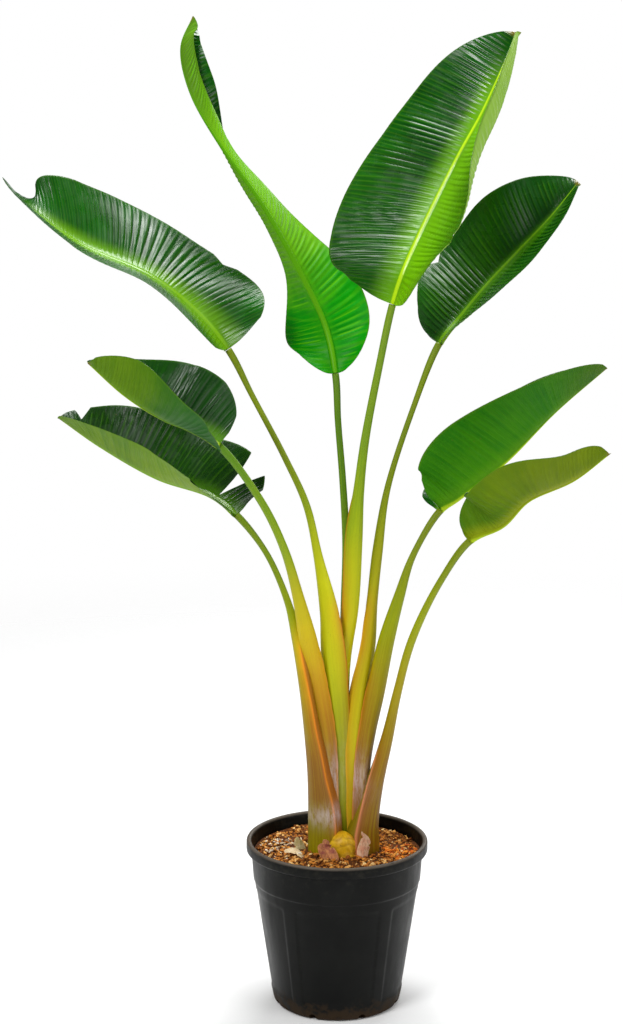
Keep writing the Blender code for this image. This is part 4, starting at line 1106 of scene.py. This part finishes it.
def turned(spin, lean, tip):
    # turn about the upright, then two small tilts
    cz, sz, cx, sx = math.cos(spin), math.sin(spin), math.cos(lean), math.sin(lean)
    cy, sy = math.cos(tip), math.sin(tip)
    upright = np.array([[cz, -sz, 0], [sz, cz, 0], [0, 0, 1]])
    sideways = np.array([[1, 0, 0], [0, cx, -sx], [0, sx, cx]])
    endways = np.array([[cy, 0, sy], [0, 1, 0], [-sy, 0, cy]])
    return upright @ sideways @ endways


def scatter(name, look, material):
    rng = np.random.default_rng(look["seed"])
    shapes = [chipTemplate(rng) for _ in range(mix["templates"])]
    reach, patch, span = mix["reach"], look.get("patch"), look["longest"] - look["shortest"]
    verts, faces, tones, total = [], [], [], 0
    while len(verts) < look["count"]:
        angle = rng.uniform(0, 2 * math.pi)
        far = reach * math.sqrt(rng.uniform(0.0, 1.0))
        x, y = far * math.cos(angle), far * math.sin(angle)
        if patch:
            x, y = patch[0] + rng.normal(0, patch[2]), patch[1] + rng.normal(0, patch[2])
            far = math.hypot(x, y)
        size = look["shortest"] + span * rng.uniform(0, 1) ** 1.8
        if blocked(x, y) or far + size * 0.6 > reach:
            continue
        body, sides = shapes[rng.integers(len(shapes))]
        spin = rng.uniform(0, 2 * math.pi, 3)[0]
        turn = turned(spin, *rng.normal(0, 0.35, 2))
        moved = (body * size / 2 * rng.uniform(0.75, 1.15, 3)) @ turn.T
        uneven = mix["uneven"] * softNoise(np.array(x * 45 + 7), np.array(y * 45 + 7), 8)
        mound = mix["mound"] * (1 - far / reach) + uneven
        moved += (x, y, mix["level"] + mound + look["lift"] * rng.uniform(0, 1))
        verts.append(moved)
        faces += [tuple(v + total for v in f) for f in sides]
        tones.append(np.full(len(body), rng.uniform(0, 1)))
        total += len(body)
    marks = {"tone": np.concatenate(tones)}
    flat = np.ones(len(faces))
    return meshPiece(name, np.concatenate(verts), faces, [material], flat=flat, marks=marks)


def barkMaterial(name, stops, roughness=0.8, grainScale=420.0):
    material, tree, sockets = newMaterial(name, specular=0.25)
    place = objectPlace(tree)
    fibre = noise(tree, stretched(tree, place, 1.0, 0.35, 1.0), grainScale, 5.0, 0.65, 0.6)
    patch = noise(tree, place, 95.0, 3.0, 0.6)
    pick = plus(tree, mark(tree, "tone"), drift(tree, patch, 0.5), True)
    colour = ramped(tree, pick, stops)
    colour = blendColour(tree, remap(tree, fibre, 0.4, 0.75, 0.0, 0.4), colour, (74, 38, 12))
    rough = remap(tree, fibre, 0.3, 0.7, roughness - 0.1, roughness + 0.1)
    finishWith(tree, sockets, colour, rough, fibre, 0.0009)
    return material


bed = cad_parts["potting_mix"]
bed.data.materials.clear()
bed.data.materials.append(barkMaterial("packedMix", fineStops, 0.9, 260.0))
for name, look in scatters.items():
    material = barkMaterial(look["material"], look["stops"], look.get("roughness", 0.8))
    settle(scatter(name, look, material), "potting_mix")
print("mix built")

# Crown of the root, with old leaf scars round it. A ring is (x, y, z, half width, half depth).
rootstockRings = [
    (0.008, -0.021, 0.2665, 0.005, 0.0045), (0.008, -0.0215, 0.262, 0.0125, 0.011),
    (0.008, -0.021, 0.25, 0.0195, 0.0175), (0.008, -0.017, 0.23, 0.025, 0.0225),
    (0.008, -0.009, 0.208, 0.046, 0.033), (0.01, -0.004, 0.185, 0.05, 0.036),
    (0.01, -0.002, 0.16, 0.036, 0.028), (0.01, 0.0, 0.146, 0.012, 0.01),
]
crown = {
    "rings": 90, "sides": 96, "scarHeight": 0.00028, "scarSpacing": 0.0105, "lumps": 0.0016,
    "specular": 0.4, "bump": 0.0006,
}


def crownMaterial():
    material, tree, sockets = newMaterial("crownSkin", specular=crown["specular"])
    place = objectPlace(tree)
    cloud = noise(tree, place, 70.0, 5.0, 0.6)
    spots = noise(tree, place, 240.0, 4.0, 0.7)
    colour = layered(
        tree, blendColour(tree, remap(tree, cloud, 0.3, 0.7), (200, 150, 6), (230, 186, 24)),
        (remap(tree, mark(tree, "scar"), 0.2, 0.95, 0.0, 0.3), (128, 88, 10)),
        (remap(tree, spots, 0.60, 0.74, 0.0, 0.6), (104, 66, 12)))
    rough = remap(tree, spots, 0.3, 0.7, 0.4, 0.62)
    finishWith(tree, sockets, colour, rough, spots, crown["bump"])
    return material


def buildCrown():
    curve, run = curveThrough(rootstockRings)
    c = sampleCurve(curve, run, np.linspace(0, 1, crown["rings"]))
    angle = np.arange(crown["sides"]) * 2 * math.pi / crown["sides"]
    z = c[:, 2][:, None]
    wander = 2.4 * softNoise(np.cos(angle)[None] * 2 + 5, z * 60, 12)
    scars = np.sin(z * 2 * math.pi / crown["scarSpacing"] + wander)
    lumps = softNoise(np.cos(angle)[None] * 3 + 11, np.sin(angle)[None] * 3 + z * 90, 14)
    shift = crown["scarHeight"] * np.clip(scars, -0.4, 1) + crown["lumps"] * lumps
    shift = shift * smooth(c[:, 3], 0.004, 0.014)[:, None]
    x = c[:, 0][:, None] + (c[:, 3][:, None] + shift) * np.cos(angle)
    y = c[:, 1][:, None] + (c[:, 4][:, None] + shift) * np.sin(angle)
    points = np.stack([x, y, z + 0 * x], 2)
    count, sides = points.shape[:2]
    faces = [tuple(f)[::-1] for f in gridFaces(count, sides, closed=True)]
    faces.append(tuple(range(sides)))
    faces.append(tuple((count - 1) * sides + k for k in range(sides))[::-1])
    marks = {"scar": np.clip(-scars + 0 * x, -1, 1).ravel()}
    return meshPiece("root_crown", points.reshape(-1, 3), faces, [crownMaterial()], marks=marks)


settle(buildCrown(), "rootstock", "rootstock")
print("crown built")

# Dry sheath ends: torn papery flaps with ragged tips. Looks are the inside colour and the edge colour.
huskShapes = {
    "dry_sheath_front": {
        "rib": [
            (-0.003, -0.046, 0.224), (-0.013, -0.049, 0.24), (-0.019, -0.05, 0.254),
            (-0.014, -0.054, 0.265),
        ],
        "halfWidth": 0.013, "roll": [185, 175, 160], "fold": [10, 15, 20], "curl": [10, 20, 20],
    },
    "dry_sheath_right": {
        "rib": [
            (0.038, -0.037, 0.224), (0.038, -0.04, 0.243), (0.041, -0.044, 0.26),
            (0.036, -0.048, 0.276),
        ],
        "halfWidth": 0.009, "roll": [200, 180, 150], "fold": [15, 25, 30], "curl": [10, 20, 20],
    },
    "dry_sheath_left": {
        "rib": [
            (-0.044, -0.03, 0.226), (-0.056, -0.035, 0.239), (-0.068, -0.038, 0.244),
            (-0.078, -0.037, 0.241),
        ],
        "halfWidth": 0.009, "roll": [100, 90, 80], "fold": [-10, -15, -20], "curl": [-10, -15, -15],
    },
    "dry_sheath_back_left": {
        "rib": [(-0.05, -0.006, 0.225), (-0.056, -0.008, 0.24), (-0.06, -0.01, 0.254)],
        "halfWidth": 0.008, "roll": [30, 20, 10], "fold": [-15, -20, -25], "curl": [-10, -15, -15],
    },
}
huskBuild = {
    "rows": 70, "columns": 12, "keel": 0.0012, "thickness": 0.0006, "edgeWave": 0.0022,
    "sweep": [0, 10, 30], "leftTears": [(0.55, 0.35, 0.06)], "rightTears": [(0.78, 0.5, 0.09)],
}
huskLooks = {
    "dry_sheath_front": ((166, 92, 84), (226, 160, 104)),
    "dry_sheath_right": ((226, 164, 132), (244, 208, 172)),
    "dry_sheath_left": ((218, 190, 146), (236, 218, 180)),
    "dry_sheath_back_left": ((196, 182, 120), (226, 214, 168)),
}


def huskMaterial(name, inside, edge):
    material, tree, sockets = newMaterial(name, specular=0.2)
    place = objectPlace(tree)
    fibre = noise(tree, stretched(tree, place, 1.0, 1.0, 0.22), 520.0, 5.0, 0.65)
    cloud = noise(tree, place, 120.0, 4.0, 0.6)
    colour = layered(
        tree, blendColour(tree, remap(tree, cloud, 0.32, 0.68), inside, edge),
        (remap(tree, fibre, 0.45, 0.7, 0.0, 0.45), (120, 74, 48)), (mark(tree, "margin"), edge))
    finishWith(tree, sockets, colour, remap(tree, fibre, 0.3, 0.7, 0.65, 0.85), fibre, 0.0008)
    return material


for order, (name, husk) in enumerate(huskShapes.items()):
    half = {"fold": husk["fold"], "curl": husk["curl"], "sweep": huskBuild["sweep"]}
    full = {**huskBuild, **husk, "narrowing": [1, 1]}
    full["left"] = dict(half, tears=huskBuild["leftTears"])
    full["right"] = dict(half, tears=huskBuild["rightTears"])
    material = huskMaterial("husk" + str(order + 1), *huskLooks[name])
    title = name.replace("dry_sheath", "husk")
    both, rows = [material, material], huskBuild["rows"]
    settle(bladeSheet(title, full, None, 80 + order, both, rows, veins=False), "dry_sheath", name)
print("dry sheaths built")

# Floor, light and camera. Each light is (place, what it faces, size, watts). The world's light is weaker
# in gloss than on matt surfaces, and plain white behind the plant.
studio = {
    "floorRadius": 3.4, "floorSides": 96, "floorHeight": -0.0006, "fadeFrom": 1.2, "fadeTo": 3.2,
    "worldLight": 0.46, "worldGloss": 0.07, "worldSeen": 1.0,
    "lights": {
        "keyLight": ((-1.7, -2.3, 2.9), (0.0, 0.0, 0.9), (1.1, 1.1), 72.0),
        "topLight": ((0.2, 0.7, 3.1), (0.0, 0.0, 1.0), (1.5, 0.8), 60.0),
        "fillLight": ((2.4, -1.6, 1.5), (0.0, 0.0, 0.7), (1.6, 2.0), 26.0),
        "backLight": ((1.2, 2.8, 1.8), (0.0, 0.0, 0.8), (2.0, 1.6), 24.0),
    },
    "cameraPlace": (-0.038, -3.0, 1.30), "cameraTilt": 79.5, "lens": 74.04, "sensor": 36.0,
}


def buildFloor():
    material, tree, sockets = newMaterial("paleFloor", roughness=0.9, specular=0.05)
    place = objectPlace(tree)
    grain = noise(tree, place, 30.0, 4.0, 0.6)
    finishWith(tree, sockets, blendColour(tree, grain, (0.93, 0.93, 0.93, 1), (0.96, 0.96, 0.96, 1)))
    away = put(tree, "ShaderNodeVectorMath", {0: place}, operation="LENGTH").outputs[1]
    tree.links.new(remap(tree, away, studio["fadeTo"], studio["fadeFrom"]), sockets["Alpha"])
    sides = studio["floorSides"]
    angles = [t * 2 * math.pi / sides for t in range(sides)]
    circle = [(studio["floorRadius"] * math.cos(angle), studio["floorRadius"] * math.sin(angle),
               studio["floorHeight"]) for angle in angles]
    return meshPiece("studioFloor", circle, [tuple(range(sides))], [material])


def lightWorld():
    world = bpy.data.worlds.new("softRoom")
    bpy.context.scene.world = world
    world.use_nodes = True
    tree = world.node_tree
    rays = put(tree, "ShaderNodeLightPath").outputs
    matt, gloss, seen = studio["worldLight"], studio["worldGloss"], studio["worldSeen"]
    soft = calc(tree, "MULTIPLY_ADD", rays["Is Glossy Ray"], gloss - matt)
    soft.node.inputs[2].default_value = matt
    strength = calc(tree, "MULTIPLY_ADD", rays["Is Camera Ray"], seen - matt)
    tree.links.new(soft, strength.node.inputs[2])
    tree.links.new(strength, tree.nodes["Background"].inputs["Strength"])
    tree.nodes["Background"].inputs["Color"].default_value = (1.0, 1.0, 1.0, 1.0)


def areaLight(name, place, target, size, power):
    lamp = bpy.data.lights.new(name, "AREA")
    lamp.shape = "RECTANGLE"
    lamp.size, lamp.size_y = size
    lamp.energy = power
    holder = bpy.data.objects.new(name, lamp)
    holder.location = place
    holder.rotation_euler = (Vector(target) - Vector(place)).to_track_quat("-Z", "Y").to_euler()
    bpy.context.scene.collection.objects.link(holder)


def placeCamera():
    lens = bpy.data.cameras.new("mainCamera")
    lens.sensor_width, lens.lens, lens.clip_end = studio["sensor"], studio["lens"], 60.0
    camera = bpy.data.objects.new("mainCamera", lens)
    camera.location = studio["cameraPlace"]
    camera.rotation_euler = (math.radians(studio["cameraTilt"]), 0.0, 0.0)
    bpy.context.scene.collection.objects.link(camera)
    bpy.context.scene.camera = camera


buildFloor()
lightWorld()
for name, (place, target, size, power) in studio["lights"].items():
    areaLight(name, place, target, size, power)
view = bpy.context.scene.view_settings
view.view_transform, view.look, view.exposure = "Standard", "None", 0.0
placeCamera()
print("studio ready")
